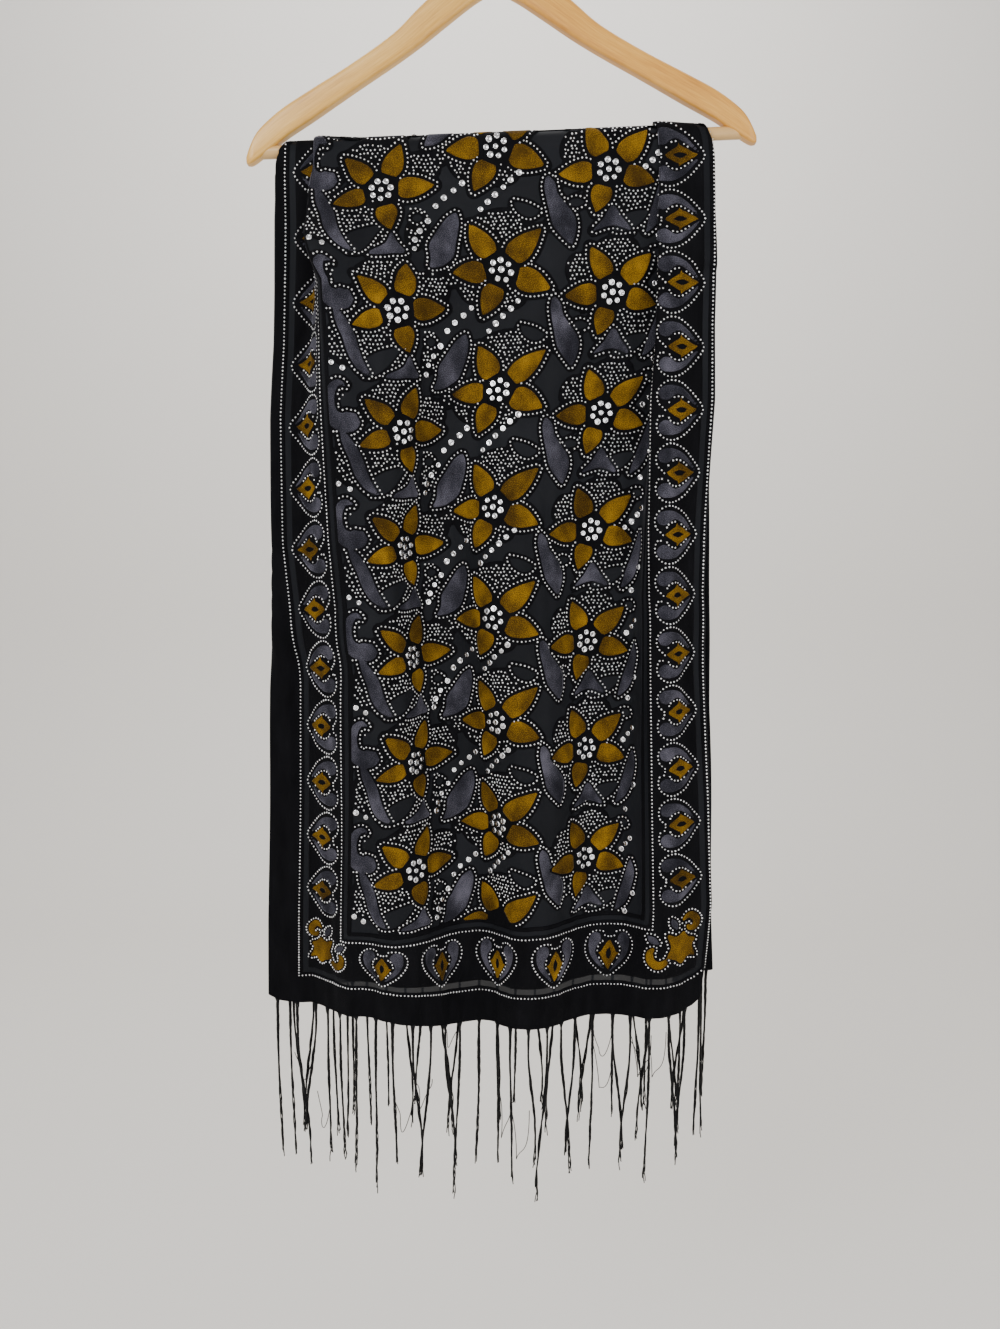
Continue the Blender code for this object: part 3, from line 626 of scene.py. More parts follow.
def flower(column, centre, tall):
    for angle, reach, half in PETALS[column]:
        shape = petal(angle, reach, half) * tall + centre
        if not shape_shows(shape):
            continue
        gold.add(clipped(shape))
        ring = spaced(grown(shape, PETAL_DOTS), DOT_PITCH)
        clear = np.hypot(*(ring - centre).T) > PETAL_BASE + 3.0
        dots.append(ring[clear & in_field(ring, 1.5)])
    turn = np.radians(np.arange(20) * 18)
    circle = np.stack([np.cos(turn), np.sin(turn)], axis=1)
    discs.add(circle * CENTRE_DISC * tall + centre)
    if in_field(np.array([centre]), 6.0)[0]:
        turn = np.radians(np.arange(7) * 360 / 7 + 12 + 17 * column)
        stones.append(np.stack([np.cos(turn), np.sin(turn)], axis=1) * STONE_RING + centre)
        stones.append(np.array([centre]))


def field_cell(column, centre, tall):
    """All that belongs to one flower, its heights scaled by tall."""
    flower(column, centre, tall)
    for place, corners in STIPPLED:
        if place == column:
            shape = curve_through(corners, 3, closed=True) * tall + centre
            if shape_shows(shape):
                stippled.add(clipped(shape))
    for table, field in ((LEAVES, slate), (WINDOWS, windows)):
        for place, points in table:
            if place == column:
                add_outline(field, ribbon(points) * tall + centre, LEAF_DOTS)
    for place, corners in WEDGES:
        if place == column:
            add_outline(slate, curve_through(corners, 3, closed=True) * tall + centre, LEAF_DOTS)
    for place, points in ARCS:
        if place == column:
            line = spaced(curve_through(points, 4) * tall + centre, DOT_PITCH, closed=False)
            dots.append(line[in_field(line, 1.5)])
    for place, spots in STONES:
        if place == column:
            spots = np.array(spots, float) * tall + centre
            stones.append(spots[in_field(spots, 2.0)])


def medallion(at, angle, tall=1.0):
    """A heart with a gold eye leaf between two commas, its point turned outward."""
    upper = np.array(MEDALLION, float)
    lower = (upper * (1, -1))[::-1]
    heart = curve_through(np.vstack([upper, lower[:-1]]), 4, closed=True)
    grow = np.array((1.0, tall))
    dots.append(spaced(turned(grown(heart, 1.2) * grow, angle, at), DOT_PITCH - 0.2))
    gold.add(turned(ribbon(EYE), angle, at))
    slits.add(turned(ribbon(SLIT), angle, at), 4.0)
    for flip in (1, -1):
        gold.add(turned(ribbon(SPUR), angle, at, flip))
        slate.add(turned(ribbon(COMMA) * grow, angle, at, flip))
        for line in (((-8, 8.6), (-3, 10.8), (3, 10.2), (8, 7.2), (12, 4.2)),
                     ((-15, 4.6), (-11.5, 3.6), (-9.5, 6.2))):
            line = spaced(curve_through(line, 4) * grow, 3.1, closed=False)
            dots.append(turned(line, angle, at, flip))


def corner(at, flip_u, flip_v):
    """A lobed gold leaf that points to the cloth's corner, with two hooks and small ovals."""
    flips = np.array([flip_u, flip_v])
    leaf = curve_through(CORNER_LEAF, 4, closed=True)
    gold.add(leaf * flips + at)
    dots.append(spaced(grown(leaf, 2.4), DOT_PITCH) * flips + at)
    for table, field in ((CORNER_HOOKS, gold), (CORNER_OVALS, slate)):
        for points in table:
            shape = ribbon(points)
            field.add(shape * flips + at)
            dots.append(spaced(grown(shape, 2.1), DOT_PITCH - 0.3) * flips + at)


def dotted_frame(inset):
    low, wide, long = inset, WIDE - inset, LONG - inset
    frame_line = np.array([(low, low), (wide, low), (wide, long), (low, long)], float)
    sides = [spaced(np.array([a, b]), 3.3, closed=False)[:-1]
             for a, b in zip(frame_line, np.roll(frame_line, -1, axis=0))]
    dots.append(np.vstack(sides))


def draw_pattern():
    for column, u in enumerate(COLUMNS):
        rows = np.array(FLOWER_ROWS[column], float)
        rows = np.concatenate((rows[:1] - LOWEST_PITCH, rows, rows[-1] + ROW_PITCH * np.arange(1, 9)))
        for v, pitch in zip(rows, np.gradient(rows)):
            field_cell(column, np.array([u, v]), np.array([1.0, pitch / ROW_PITCH]))
    count = np.arange(FRONT_MEDALLIONS)
    lowest, pitch, growth = SIDE_HEIGHTS
    heights = lowest + pitch * count + growth * count ** 2
    beyond = np.linspace(heights[-1], LONG - lowest, BACK_MEDALLIONS + 1)[1:]
    heights = np.concatenate((heights, beyond))
    for v, pitch in zip(heights, np.gradient(heights)):
        medallion((MEDALLION_AT, v), 180, pitch / FULL_PITCH)
        medallion((WIDE - MEDALLION_AT, v), 0, pitch / FULL_PITCH)
    for k in range(END_MEDALLIONS):
        u = WIDE / 2 + (k - (END_MEDALLIONS - 1) / 2) * END_PITCH
        medallion((u, MEDALLION_AT), -90)
        medallion((u, LONG - MEDALLION_AT), 90)
    for flip_u, u in ((1, CORNER_AT[0]), (-1, WIDE - CORNER_AT[0])):
        for flip_v, v in ((1, CORNER_AT[1]), (-1, LONG - CORNER_AT[1])):
            corner((u, v), flip_u, flip_v)
    dotted_frame(OUTER_LINE)
    dotted_frame(INNER_LINE)


def thin_out(spots, apart):
    """Dots that stand at least this far from every dot kept before them."""
    kept = np.ones(len(spots), bool)
    order = np.argsort(spots[:, 1])
    placed = spots[order]
    for i in range(len(placed)):
        if not kept[i]:
            continue
        end = np.searchsorted(placed[:, 1], placed[i, 1] + apart)
        near = np.hypot(*(placed[i + 1:end] - placed[i]).T) < apart
        kept[i + 1:end] &= ~near
    return placed[kept]


def place_dots(set_stones):
    """Outline dots clear of shapes and stones, then loose stipple clear of all of them."""
    lines = np.vstack(dots)
    lines = lines[edge_distance(lines[:, 0], lines[:, 1]) > 2]
    clear = (gold.at(lines) > 0.4) & (slate.at(lines) > 0.4)
    clear &= nearest(lines, set_stones) > STONE_RADIUS + 0.6
    lines = thin_out(lines[clear], 2.5)
    across = np.arange(FIELD_EDGE, WIDE - FIELD_EDGE, STIPPLE_PITCH)
    up = np.arange(FIELD_EDGE, LONG - FIELD_EDGE, STIPPLE_PITCH * 0.87)
    u, v = np.meshgrid(across, up)
    u = u + (np.arange(len(up)) % 2)[:, None] * STIPPLE_PITCH / 2
    loose = np.stack([u.ravel(), v.ravel()], axis=1)
    loose += rng.uniform(-STIPPLE_SCATTER, STIPPLE_SCATTER, loose.shape)
    keep = (stippled.at(loose) < -0.8) & (gold.at(loose) > PETAL_DOTS + 1.6)
    keep &= (slate.at(loose) > LEAF_DOTS + 1.6) & (windows.at(loose) > LEAF_DOTS + 1.4)
    keep &= in_field(loose, 2.5)
    loose = loose[keep]
    loose = loose[nearest(loose, set_stones) > STONE_RADIUS + 1.4]
    loose = loose[nearest(loose, lines) > 2.7]
    return np.vstack([lines, loose])


def nearest(spots, others):
    """Distance from each spot to the nearest of the others, strip by strip along the cloth."""
    found = np.full(len(spots), 99.0)
    for low in np.arange(0.0, LONG, 50.0):
        mine = (spots[:, 1] >= low) & (spots[:, 1] < low + 50.0)
        around = others[(others[:, 1] > low - 8) & (others[:, 1] < low + 58.0)]
        if mine.any() and len(around):
            gap = spots[mine][:, None] - around[None]
            found[mine] = np.sqrt((gap ** 2).sum(axis=2)).min(axis=1)
    return found


# Pile patches

def patch(name, distance, u, v, lift, shade):
    """The area where distance is below nought, cut from the flat grid and laid on the cloth."""
    rows, columns = distance.shape
    index = np.arange(rows * columns).reshape(rows, columns)
    a, b = index[:-1, :-1].ravel(), index[:-1, 1:].ravel()
    c, d = index[1:, 1:].ravel(), index[1:, :-1].ravel()
    triangles = np.vstack([np.stack([a, b, c], 1), np.stack([a, c, d], 1)])
    flat = distance.ravel()
    grid_u = np.tile(u, rows)
    grid_v = np.repeat(v, columns)
    inside = flat[triangles] < 0
    count = inside.sum(axis=1)
    whole = triangles[count == 3]
    faces = [whole]
    cuts = []
    for wanted in (1, 2):
        some = triangles[count == wanted]
        odd = (inside[count == wanted] if wanted == 1 else ~inside[count == wanted]).argmax(axis=1)
        order = (odd[:, None] + np.arange(3)) % 3
        cuts.append(np.take_along_axis(some, order, axis=1))
    one, two = cuts
    edges = np.vstack([one[:, [0, 1]], one[:, [0, 2]], two[:, [0, 1]], two[:, [0, 2]]])
    keys = np.sort(edges, axis=1)
    unique, back = np.unique(keys, axis=0, return_inverse=True)
    back = back.ravel() + rows * columns
    n1, n2 = len(one), len(two)
    p, q = back[:n1], back[n1:2 * n1]
    r, s = back[2 * n1:2 * n1 + n2], back[2 * n1 + n2:]
    faces.append(np.stack([one[:, 0], p, q], 1))
    faces.append(np.stack([r, two[:, 1], two[:, 2]], 1))
    faces.append(np.stack([r, two[:, 2], s], 1))
    faces = np.vstack(faces)
    rim = np.vstack([np.stack([p, q], 1), np.stack([s, r], 1)])
    share = flat[unique[:, 0]] / (flat[unique[:, 0]] - flat[unique[:, 1]])
    cut_u = grid_u[unique[:, 0]] * (1 - share) + grid_u[unique[:, 1]] * share
    cut_v = grid_v[unique[:, 0]] * (1 - share) + grid_v[unique[:, 1]] * share
    all_u, all_v = np.concatenate([grid_u, cut_u]), np.concatenate([grid_v, cut_v])
    used, faces = np.unique(faces, return_inverse=True)
    faces = faces.reshape(-1, 3)
    place = np.full(len(all_u), -1)
    place[used] = np.arange(len(used))
    top_u, top_v = all_u[used], all_v[used]
    rim_used, rim_local = np.unique(rim, return_inverse=True)
    rim_local = rim_local.reshape(-1, 2) + len(used)
    rim_top = place[rim]
    skirt = np.vstack([np.stack([rim_top[:, 1], rim_top[:, 0], rim_local[:, 0]], 1),
                       np.stack([rim_top[:, 1], rim_local[:, 0], rim_local[:, 1]], 1)])
    low_u, low_v = all_u[rim_used], all_v[rim_used]
    full_u, full_v = np.concatenate([top_u, low_u]), np.concatenate([top_v, low_v])
    lifts = np.concatenate([np.full(len(top_u), lift), np.full(len(low_u), 0.05)])
    points = on_cloth(full_u, full_v, lifts)
    return mesh_piece(name, points, np.vstack([faces, skirt]), shade, flat_uv(full_u, full_v))


def pile_patches(shades):
    """Black, gold and slate pile of each stretch."""
    u, v = gold.u, gold.v
    grid_u, grid_v = np.meshgrid(u, v)
    edge = edge_distance(grid_u, grid_v)
    black = np.minimum(gold.distance - PETAL_MARGIN, slate.distance - LEAF_MARGIN)
    black = np.minimum(black, stippled.distance - 1.6)
    black = np.minimum(black, windows.distance - LEAF_MARGIN)
    black = np.minimum(black, discs.distance)
    black = np.maximum(black, -(windows.distance - 0.2))
    black = np.maximum(black, FIELD_EDGE - edge)
    bands = np.maximum(edge - SHEER_LINE[0], -99)
    bands = np.minimum(bands, np.maximum(SHEER_LINE[1] - edge, edge - INNER_SHEER[0]))
    bands = np.minimum(bands, np.maximum(INNER_SHEER[1] - edge, edge - FIELD_EDGE - 1.0))
    black = np.minimum(black, bands)
    gold_area = np.maximum(gold.distance, -slits.distance)
    slate_area = np.maximum(slate.distance, 1.6 - gold.distance)
    cut = int(np.searchsorted(v, CREST)) + 1
    made = []
    for side, rows in (("front", slice(0, cut)), ("back", slice(cut - 1, None))):
        for kind, area, lift in (("black", black, BLACK_PILE), ("gold", gold_area, COLOUR_PILE),
                                 ("slate", slate_area, COLOUR_PILE)):
            made.append(patch(f"{kind}_pile_{side}", area[rows], u, v[rows], lift,
                              shades[kind]))
    return made


def ground_sheet(name, low, high, shade):
    """The sheer ground of one stretch, an open thin sheet."""
    u = np.linspace(0, WIDE, 256)
    v = np.linspace(low, high, int((high - low) / 8.0))
    grid_u, grid_v = np.meshgrid(u, v)
    points = on_cloth(grid_u.ravel(), grid_v.ravel())
    rows, columns = grid_u.shape
    index = np.arange(rows * columns).reshape(rows, columns)
    faces = np.stack([index[:-1, :-1].ravel(), index[:-1, 1:].ravel(),
                      index[1:, 1:].ravel(), index[1:, :-1].ravel()], axis=1)
    return mesh_piece(name, points, faces, shade,
                      flat_uv(grid_u.ravel(), grid_v.ravel()))


def studs(name, spots, radius, height, lift, sides, rings, shade):
    """Many small raised studs joined in one mesh. Rings: share of radius, share of height."""
    here, aside, along, normal = frames_on_cloth(spots[:, 0], spots[:, 1], lift)
    size = radius * (1 + rng.uniform(-0.13, 0.13, len(spots)))
    turn0 = rng.uniform(0, math.pi, len(spots))
    points = []
    for number, (wide, high) in enumerate(rings):
        for k in range(sides):
            turn = turn0 + 2 * math.pi * (k + 0.5 * number) / sides
            points.append(here + (aside * np.cos(turn)[:, None] + along * np.sin(turn)[:, None])
                          * (wide * size * MM)[:, None] + normal * height * high * MM)
    points.append(here + normal * height * MM)
    per = len(points)
    cloud = np.stack(points, axis=1).reshape(-1, 3)
    pattern = []
    for ring in range(len(rings) - 1):
        for k in range(sides):
            n = (k + 1) % sides
            a, b = ring * sides + k, ring * sides + n
            c, d = a + sides, b + sides
            pattern += [(a, b, c), (b, d, c)]
    top = (len(rings) - 1) * sides
    pattern += [(top + k, top + (k + 1) % sides, per - 1) for k in range(sides)]
    faces = (np.arange(len(spots))[:, None, None] * per + np.array(pattern)).reshape(-1, 3)
    return mesh_piece(name, cloud, faces, shade, soft=False)


def tubes(name, paths, radii, sides, shade):
    """Round threads along paths: an array of runs, each of the same number of points."""
    paths = np.asarray(paths, float)
    runs, steps = paths.shape[:2]
    heading = np.gradient(paths, axis=1)
    heading /= np.maximum(np.linalg.norm(heading, axis=2, keepdims=True), 1e-9)
    guide = np.where(np.abs(heading[..., 1:2]) < 0.9, (0.0, 1.0, 0.0), (1.0, 0.0, 0.0))
    first = np.cross(heading, guide)
    first /= np.linalg.norm(first, axis=2, keepdims=True)
    second = np.cross(heading, first)
    turn = 2 * math.pi * np.arange(sides) / sides
    ring = first[:, :, None] * np.cos(turn)[:, None] + second[:, :, None] * np.sin(turn)[:, None]
    points = paths[:, :, None] + ring * np.asarray(radii, float)[:, :, None, None]
    index = np.arange(runs * steps * sides).reshape(runs, steps, sides)
    near, far = index[:, :-1], index[:, 1:]
    faces = np.stack([near, np.roll(near, -1, axis=2), np.roll(far, -1, axis=2), far], axis=-1)
    faces = faces.reshape(-1, 4)
    ends = np.concatenate([index[:, 0, ::-1], index[:, -1]])
    tips = np.arange(len(ends)) + runs * steps * sides
    centres = np.concatenate([paths[:, 0], paths[:, -1]])
    fans_out = np.stack([ends, np.roll(ends, -1, axis=1)], axis=-1)
    caps = np.concatenate([fans_out, np.repeat(tips[:, None, None], sides, axis=1)], axis=-1)
    quads = np.vstack([faces[:, [0, 1, 2]], faces[:, [0, 2, 3]], caps.reshape(-1, 3)])
    return mesh_piece(name, np.vstack([points.reshape(-1, 3), centres]), quads, shade)


def fringe_length(cluster, strand, phase):
    wobble = math.sin(2.4 * cluster + phase) + 0.6 * math.sin(5.1 * cluster + 1.7 * strand)
    return FRINGE_LENGTH + FRINGE_VARIATION * wobble / 1.6


def cluster_path(centre, hem_v, length, sway, lean):
    """Middle line of one twisted cluster, straight down from the hem but for its sway."""
    share = np.linspace(0, 1, THREAD_STEPS)
    root = on_cloth(np.array([centre]), np.array([hem_v]))[0]
    drift = sway * share ** 2 + 0.0004 * np.sin(share * 7 + centre) * smooth(share / 0.3)
    x = root[0] + drift + lean[0] * smooth((share - 0.15) / 0.75)
    y = root[1] + 0.0003 * np.sin(share * 9 + 2 * centre) + lean[1] * smooth((share - 0.15) / 0.75)
    z = root[2] + 0.0004 - (length + 0.0004) * share
    return np.stack([x, y, z], axis=1)


def fringe(name, at_front, phase, shade):
    """Tightly twisted clusters of threads under one hem, some caught together, some looped."""
    hem_v = 0.0 if at_front else LONG
    pitch = (WIDE - 2 * CLUSTER_INSET) / (CLUSTERS - 1)
    share = np.linspace(0, 1, THREAD_STEPS)
    centres = [CLUSTER_INSET + k * pitch for k in range(CLUSTERS)]
    roots = [on_cloth(np.array([centre]), np.array([hem_v]))[0] for centre in centres]
    paths, radii = [], []
    for cluster, centre in enumerate(centres):
        sway = STRAND_SWAY * math.sin(1.9 * cluster + phase + 0.8)
        lean = np.zeros(3)
        if cluster in JOINED:
            lean = (roots[cluster + 1] - roots[cluster]) * 0.5
        elif cluster - 1 in JOINED:
            lean = (roots[cluster - 1] - roots[cluster]) * 0.5
        if np.linalg.norm(lean) > 0.012:
            lean = np.zeros(3)
        length = fringe_length(cluster, 1, phase)
        middle = cluster_path(centre, hem_v, length, sway, lean)
        turns = rng.uniform(3.0, 4.5)
        bundle = BUNDLE_RADIUS * (0.85 + 0.3 * np.sin(share * 11 + cluster)) * smooth(share / 0.04)
        bundle = bundle * (1 + 0.6 * smooth((share - 0.9) / 0.1))
        for thread in range(THREADS):
            angle = 2 * math.pi * (thread / THREADS + turns * share) + cluster
            reach = bundle * rng.uniform(0.8, 1.15)
            path = middle + np.stack([reach * np.cos(angle), reach * np.sin(angle), 0 * share], axis=1)
            spread = (thread - (THREADS - 1) / 2) * 0.0009 * (1 - smooth(share / 0.05))
            path[:, 0] += spread
            path[:, 2] = path[0, 2] + (path[:, 2] - path[0, 2]) * (1 + rng.uniform(-0.08, 0.015))
            paths.append(path)
            radii.append(THREAD_RADIUS * (1 - 0.25 * share))
    for loop in range(STRAYS):
        first = int(rng.integers(0, CLUSTERS - 2))
        gap = roots[first + 1] - roots[first]
        if np.linalg.norm(gap) > 0.03:
            continue
        top, deep = rng.uniform(0.03, 0.09), rng.uniform(0.02, 0.05)
        along = share[:, None] * gap
        drop = top + deep * np.sin(math.pi * share) + 0.004 * np.sin(share * 12 + loop)
        sag = np.stack([0.002 * np.sin(share * 9), -0.0015 + 0 * share, -drop], axis=1)
        path = roots[first] + along + sag
        paths.append(path)
        radii.append(np.full(THREAD_STEPS, THREAD_RADIUS * 0.6))
    return tubes(name, paths, radii, THREAD_SIDES, shade)


def edge_roll(name, low, high, shade):
    """The narrow rolled edge of the cloth round one stretch."""
    count = 160
    along = np.linspace(low, high, count)
    hem_v = low if low <= 0 else high
    runs = [on_cloth(np.full(count, inset), along, 0.2) for inset in (0.4, WIDE - 0.4)]
    runs.append(on_cloth(np.linspace(0.4, WIDE - 0.4, count), np.full(count, hem_v), 0.2))
    radii = [np.full(count, 0.0007)] * 3
    return tubes(name, runs, radii, 6, shade)


# Hanger

def tilted(points):
    points = np.asarray(points, float)
    c, s = math.cos(TILT), math.sin(TILT)
    turned_points = points.copy()
    turned_points[..., 0] = points[..., 0] * c - points[..., 2] * s
    turned_points[..., 2] = points[..., 0] * s + points[..., 2] * c
    return turned_points


def arm(name, side, shade):
    """Half of the bow as a fine loft of rounded sections, with its grain along it."""
    stations = curve_through(ARM_OUTLINE, 7)
    sides = 48
    turn = 2 * math.pi * (np.arange(sides) + 0.5) / sides
    wave_y = np.copysign(np.abs(np.cos(turn)) ** (2 / ARM_ROUNDNESS), np.cos(turn))
    wave_z = np.copysign(np.abs(np.sin(turn)) ** (2 / ARM_ROUNDNESS), np.sin(turn))
    out, top, bottom = stations.T
    thin = np.minimum(1.0, 0.55 + (top - bottom) / 0.04)
    x = np.repeat(side * out[:, None], sides, axis=1)
    y = ARM_HALF_THICK * thin[:, None] * wave_y
    z = (top + bottom)[:, None] / 2 + (top - bottom)[:, None] / 2 * wave_z
    points = tilted(np.stack([x, y, z], axis=-1)).reshape(-1, 3)
    run = np.concatenate(([0.0], np.cumsum(np.hypot(np.diff(out), np.diff((top + bottom) / 2)))))
    uv = np.stack([np.repeat(run[:, None], sides, axis=1), y + wave_z * 0.012], axis=-1)
    rows = len(out)
    index = np.arange(rows * sides).reshape(rows, sides)
    near, far = index[:-1], index[1:]
    quads = np.stack([near, np.roll(near, -1, axis=1), np.roll(far, -1, axis=1), far], -1).reshape(-1, 4)
    if side < 0:
        quads = quads[:, ::-1]
    faces = np.vstack([quads[:, [0, 1, 2]], quads[:, [0, 2, 3]]])
    ends = []
    for ring, way in ((index[0], -side), (index[-1], side)):
        centre = len(points)
        points = np.vstack([points, points[ring].mean(axis=0)])
        pair = (ring, np.roll(ring, -1)) if way > 0 else (np.roll(ring, -1), ring)
        ends.append(np.stack([pair[0], pair[1], np.full(sides, centre)], axis=1))
    uv = np.vstack([uv.reshape(-1, 2), uv.reshape(-1, 2)[[0, -1]]])
    return mesh_piece(name, points, np.vstack([faces] + ends), shade, uv * 10)


def bar(shade):
    steps, sides = 90, 40
    x = np.linspace(-BAR_HALF_LENGTH, BAR_HALF_LENGTH, steps)
    path = tilted(np.stack([x, np.zeros(steps), np.full(steps, -BAR_DROP)], axis=1))
    return tubes("trouser_bar", [path], [np.full(steps, BAR_RADIUS)], sides, shade)


def hook(shade):
    radius = HOOK_RADIUS + WIRE_RADIUS
    join_x = radius * math.sin(math.pi / 2 - HOOK_TURN)
    join_z = -HOOK_RADIUS - radius * math.sin(HOOK_TURN)
    swing = join_x / (1 - math.cos(HOOK_TURN))
    low = join_z - swing * math.sin(HOOK_TURN)
    route = [(0.0, 0.0, z) for z in np.linspace(SHANK_END, low, 12, endpoint=False)]
    for angle in np.linspace(0, HOOK_TURN, 14, endpoint=False):
        route.append((swing * (1 - math.cos(angle)), 0.0, low + swing * math.sin(angle)))
    for angle in np.linspace(-HOOK_TURN, HOOK_TIP, 74):
        route.append((radius * math.cos(angle), 0.0, -HOOK_RADIUS + radius * math.sin(angle)))
    radii = np.full(len(route), WIRE_RADIUS)
    radii[-3:] *= (0.96, 0.85, 0.55)
    return tubes("hook_wire", [tilted(route)], [radii], 20, shade)


# Materials

def new_shade(name, roughness, metallic=0.0):
    shade = bpy.data.materials.new(name)
    shade.use_nodes = True
    shader = shade.node_tree.nodes["Principled BSDF"]
    shader.inputs["Roughness"].default_value = roughness
    shader.inputs["Metallic"].default_value = metallic
    return shade, shade.node_tree, shader


def node(tree, kind, **settings):
    made = tree.nodes.new(kind)
    for key, value in settings.items():
        if key in made.inputs:
            made.inputs[key].default_value = value
        else:
            setattr(made, key, value)
    return made


def ramp(tree, source, stops):
    made = tree.nodes.new("ShaderNodeValToRGB")
    elements = made.color_ramp.elements
    while len(elements) < len(stops):
        elements.new(0.5)
    for element, (place, colour) in zip(elements, stops):
        element.position = place
        element.color = (*colour, 1.0)
    tree.links.new(source, made.inputs["Fac"])
    return made.outputs["Color"]


def noise_on_uv(tree, stretch, scale, detail=3.0, roughness=0.6):
    """Noise on the flat cloth's own coordinates, stretched across and along."""
    place = node(tree, "ShaderNodeTexCoord")
    mapping = node(tree, "ShaderNodeMapping")
    mapping.inputs["Scale"].default_value = (*stretch, 1.0)
    noise = node(tree, "ShaderNodeTexNoise", Scale=scale, Detail=detail, Roughness=roughness)
    tree.links.new(place.outputs["UV"], mapping.inputs["Vector"])
    tree.links.new(mapping.outputs["Vector"], noise.inputs["Vector"])
    return noise.outputs["Fac"]


def blend_values(tree, a, b, share):
    mix = node(tree, "ShaderNodeMix", data_type="FLOAT")
    mix.inputs["Factor"].default_value = share
    tree.links.new(a, mix.inputs["A"])
    tree.links.new(b, mix.inputs["B"])
    return mix.outputs["Result"]


def add_bump(tree, shader, source, strength, distance):
    bump = node(tree, "ShaderNodeBump", Strength=strength, Distance=distance)
    tree.links.new(source, bump.inputs["Height"])
    tree.links.new(bump.outputs["Normal"], shader.inputs["Normal"])


def velvet_shade(name, stops, sheen, tint, grain_share, nap):
    """Cut pile: fine grain mixed with the slow streaks of its nap."""
    shade, tree, shader = new_shade(name, 0.8)
    grain = noise_on_uv(tree, (1.0, 1.0), 150.0, 2.0, 0.7)
    streaks = noise_on_uv(tree, nap, 1.3, 4.0, 0.55)
    mixed = blend_values(tree, streaks, grain, grain_share)
    tree.links.new(ramp(tree, mixed, stops), shader.inputs["Base Color"])
    shader.inputs["Sheen Weight"].default_value = sheen
    shader.inputs["Sheen Roughness"].default_value = 0.30
    shader.inputs["Sheen Tint"].default_value = (*tint, 1.0)
    shader.inputs["Specular IOR Level"].default_value = 0.06
    add_bump(tree, shader, grain, 0.5, 0.0006)
    return shade


def sheer_shade():
    shade, tree, shader = new_shade("sheer_ground", 0.62)
    weave = noise_on_uv(tree, (1.0, 1.0), 260.0, 1.0, 0.5)
    slow = noise_on_uv(tree, (1.0, 1.0), 0.9, 3.0, 0.5)
    mixed = blend_values(tree, slow, weave, 0.4)
    stops = ((0.3, (0.004, 0.0045, 0.006)), (0.7, (0.011, 0.012, 0.015)))
    tree.links.new(ramp(tree, mixed, stops), shader.inputs["Base Color"])
    shader.inputs["Alpha"].default_value = 0.97
    shader.inputs["Sheen Weight"].default_value = 0.02
    shader.inputs["Specular IOR Level"].default_value = 0.08
    add_bump(tree, shader, weave, 0.3, 0.0003)
    return shade


def wood_shade(name, light, mid, dark):
    shade, tree, shader = new_shade(name, 0.36)
    fibre = noise_on_uv(tree, (1.2, 26.0), 3.2, 6.0, 0.62)
    band = noise_on_uv(tree, (0.55, 5.0), 2.1, 3.0, 0.5)
    mixed = blend_values(tree, fibre, band, 0.45)
    tree.links.new(ramp(tree, mixed, ((0.34, dark), (0.5, mid), (0.68, light))),
                   shader.inputs["Base Color"])
    shader.inputs["Coat Weight"].default_value = 0.18
    shader.inputs["Coat Roughness"].default_value = 0.22
    add_bump(tree, shader, fibre, 0.12, 0.0004)
    return shade


def metal_shade(name, colour, roughness):
    shade, tree, shader = new_shade(name, roughness, 1.0)
    place = node(tree, "ShaderNodeTexCoord")
    noise = node(tree, "ShaderNodeTexNoise", Scale=420.0, Detail=3.0)
    tree.links.new(place.outputs["Object"], noise.inputs["Vector"])
    darker = tuple(0.75 * c for c in colour)
    tree.links.new(ramp(tree, noise.outputs["Fac"], ((0.35, darker), (0.65, colour))),
                   shader.inputs["Base Color"])
    return shade


def thread_shade():
    shade, tree, shader = new_shade("thread", 0.5)
    shader.inputs["Specular IOR Level"].default_value = 0.15
    place = node(tree, "ShaderNodeTexCoord")
    noise = node(tree, "ShaderNodeTexNoise", Scale=300.0, Detail=2.0)
    tree.links.new(place.outputs["Object"], noise.inputs["Vector"])
    stops = ((0.35, (0.001, 0.001, 0.0014)), (0.7, (0.006, 0.006, 0.007)))
    tree.links.new(ramp(tree, noise.outputs["Fac"], stops), shader.inputs["Base Color"])
    add_bump(tree, shader, noise.outputs["Fac"], 0.4, 0.0003)
    return shade


# Stage

def stage_set():
    """A plain pale wall that curves into a plain pale floor."""
    shade, _, shader = new_shade("pale_stage", 0.9)
    shader.inputs["Base Color"].default_value = (0.79, 0.76, 0.72, 1.0)
    profile = [(STAGE_FRONT, FLOOR_Z)]
    for k in range(BEND_STEPS + 1):
        angle = math.pi / 2 * k / BEND_STEPS
        profile.append((WALL_Y - STAGE_BEND + STAGE_BEND * math.sin(angle),
                        FLOOR_Z + STAGE_BEND - STAGE_BEND * math.cos(angle)))
    profile.append((WALL_Y, STAGE_TOP))
    points = [(x, y, z) for y, z in profile for x in (-STAGE_HALF_WIDTH, STAGE_HALF_WIDTH)]
    faces = [(2 * k, 2 * k + 1, 2 * k + 3, 2 * k + 2) for k in range(len(profile) - 1)]
    mesh = bpy.data.meshes.new("stage")
    mesh.from_pydata(points, [], faces)
    mesh.shade_smooth()
    mesh.materials.append(shade)
    stage = bpy.data.objects.new("stage", mesh)
    bpy.context.scene.collection.objects.link(stage)


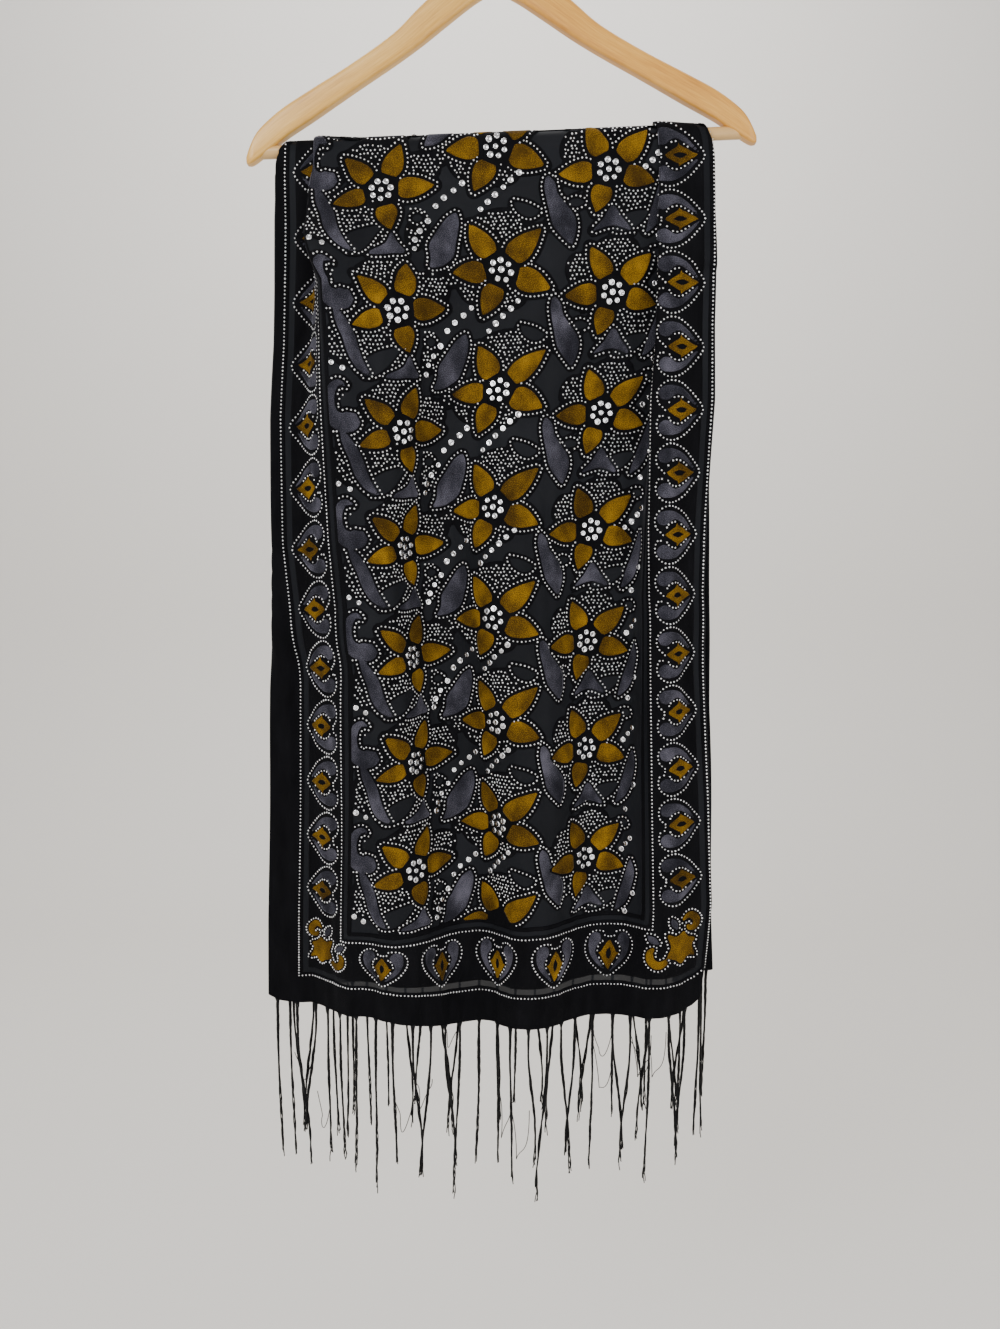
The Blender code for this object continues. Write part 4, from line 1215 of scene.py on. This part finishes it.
def area_light(name, place, target, size, power):
    data = bpy.data.lights.new(name, "AREA")
    data.shape = "SQUARE"
    data.size = size
    data.energy = power
    light = bpy.data.objects.new(name, data)
    light.location = place
    light.rotation_euler = (Vector(target) - Vector(place)).to_track_quat("-Z", "Y").to_euler()
    bpy.context.scene.collection.objects.link(light)


def lights_and_camera():
    for light in LIGHTS:
        area_light(*light)
    world = bpy.data.worlds.new("studio")
    world.use_nodes = True
    background = world.node_tree.nodes["Background"]
    background.inputs["Color"].default_value = (1.0, 0.985, 0.96, 1.0)
    background.inputs["Strength"].default_value = 0.60
    bpy.context.scene.world = world
    data = bpy.data.cameras.new("camera")
    data.sensor_fit = "VERTICAL"
    data.sensor_height = SENSOR_HEIGHT
    data.lens = SENSOR_HEIGHT * FOCAL_PIXELS / FRAME_HEIGHT
    data.clip_start = 0.01
    camera = bpy.data.objects.new("camera", data)
    camera.location = CAMERA_AT
    camera.rotation_euler = (math.pi / 2 - CAMERA_TILT, 0, 0)
    bpy.context.scene.collection.objects.link(camera)
    bpy.context.scene.camera = camera


def main():
    lights_and_camera()
    stage_set()
    draw_pattern()
    shades = {name: velvet_shade(f"{name}_pile", *values) for name, values in PILES.items()}
    sheer = sheer_shade()
    glitter = metal_shade("glitter", (0.93, 0.93, 0.95), 0.28)
    stone = metal_shade("set_stone", (0.9, 0.9, 0.93), 0.08)
    thread = thread_shade()
    front = ground_sheet("ground_front", 0.0, CREST, sheer)
    back = ground_sheet("ground_back", CREST, LONG, sheer)
    piles = pile_patches(shades)
    set_stones = thin_out(np.vstack(stones), 4.8)
    on_pile = np.minimum(gold.at(set_stones), slate.at(set_stones)) < STONE_RADIUS
    set_stones = set_stones[~on_pile]
    every = place_dots(set_stones)
    for side, is_front in (("front", True), ("back", False)):
        chosen = every[(every[:, 1] <= CREST) == is_front]
        studs(f"glitter_{side}", chosen, DOT_RADIUS, DOT_HEIGHT, BLACK_PILE, 4,
                           ((1.0, 0.0), (0.72, 0.7)), glitter)
        chosen = set_stones[(set_stones[:, 1] <= CREST) == is_front]
        studs(f"stones_{side}", chosen, STONE_RADIUS, STONE_HEIGHT, BLACK_PILE, 8,
                           ((1.0, 0.0), (0.96, 0.7), (0.74, 1.0), (0.5, 0.5)), stone)
    rolls = [edge_roll("edge_front", 0.0, CREST, shades["black"]),
             edge_roll("edge_back", LONG, CREST, shades["black"])]
    fringe_front = fringe("fringe_threads_front", True, 0.0, thread)
    fringe_back = fringe("fringe_threads_back", False, 1.3, thread)
    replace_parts(front, "stole_front")
    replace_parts(back, "stole_back")
    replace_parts(fringe_front, "fringe_front")
    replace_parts(fringe_back, "fringe_back")

    pale = wood_shade("pale_arm", (0.80, 0.48, 0.12), (0.70, 0.38, 0.072), (0.54, 0.26, 0.038))
    warm = wood_shade("warm_arm", (0.78, 0.41, 0.078), (0.66, 0.31, 0.045), (0.50, 0.20, 0.026))
    dowel = wood_shade("dowel", (0.70, 0.46, 0.20), (0.60, 0.37, 0.14), (0.47, 0.27, 0.085))
    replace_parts(arm("left_arm", -1, pale), "arm_left")
    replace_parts(arm("right_arm", 1, warm), "arm_right")
    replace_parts(bar(dowel), "bar")
    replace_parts(hook(metal_shade("hook_steel", (0.66, 0.66, 0.67), 0.22)), "hook")


main()
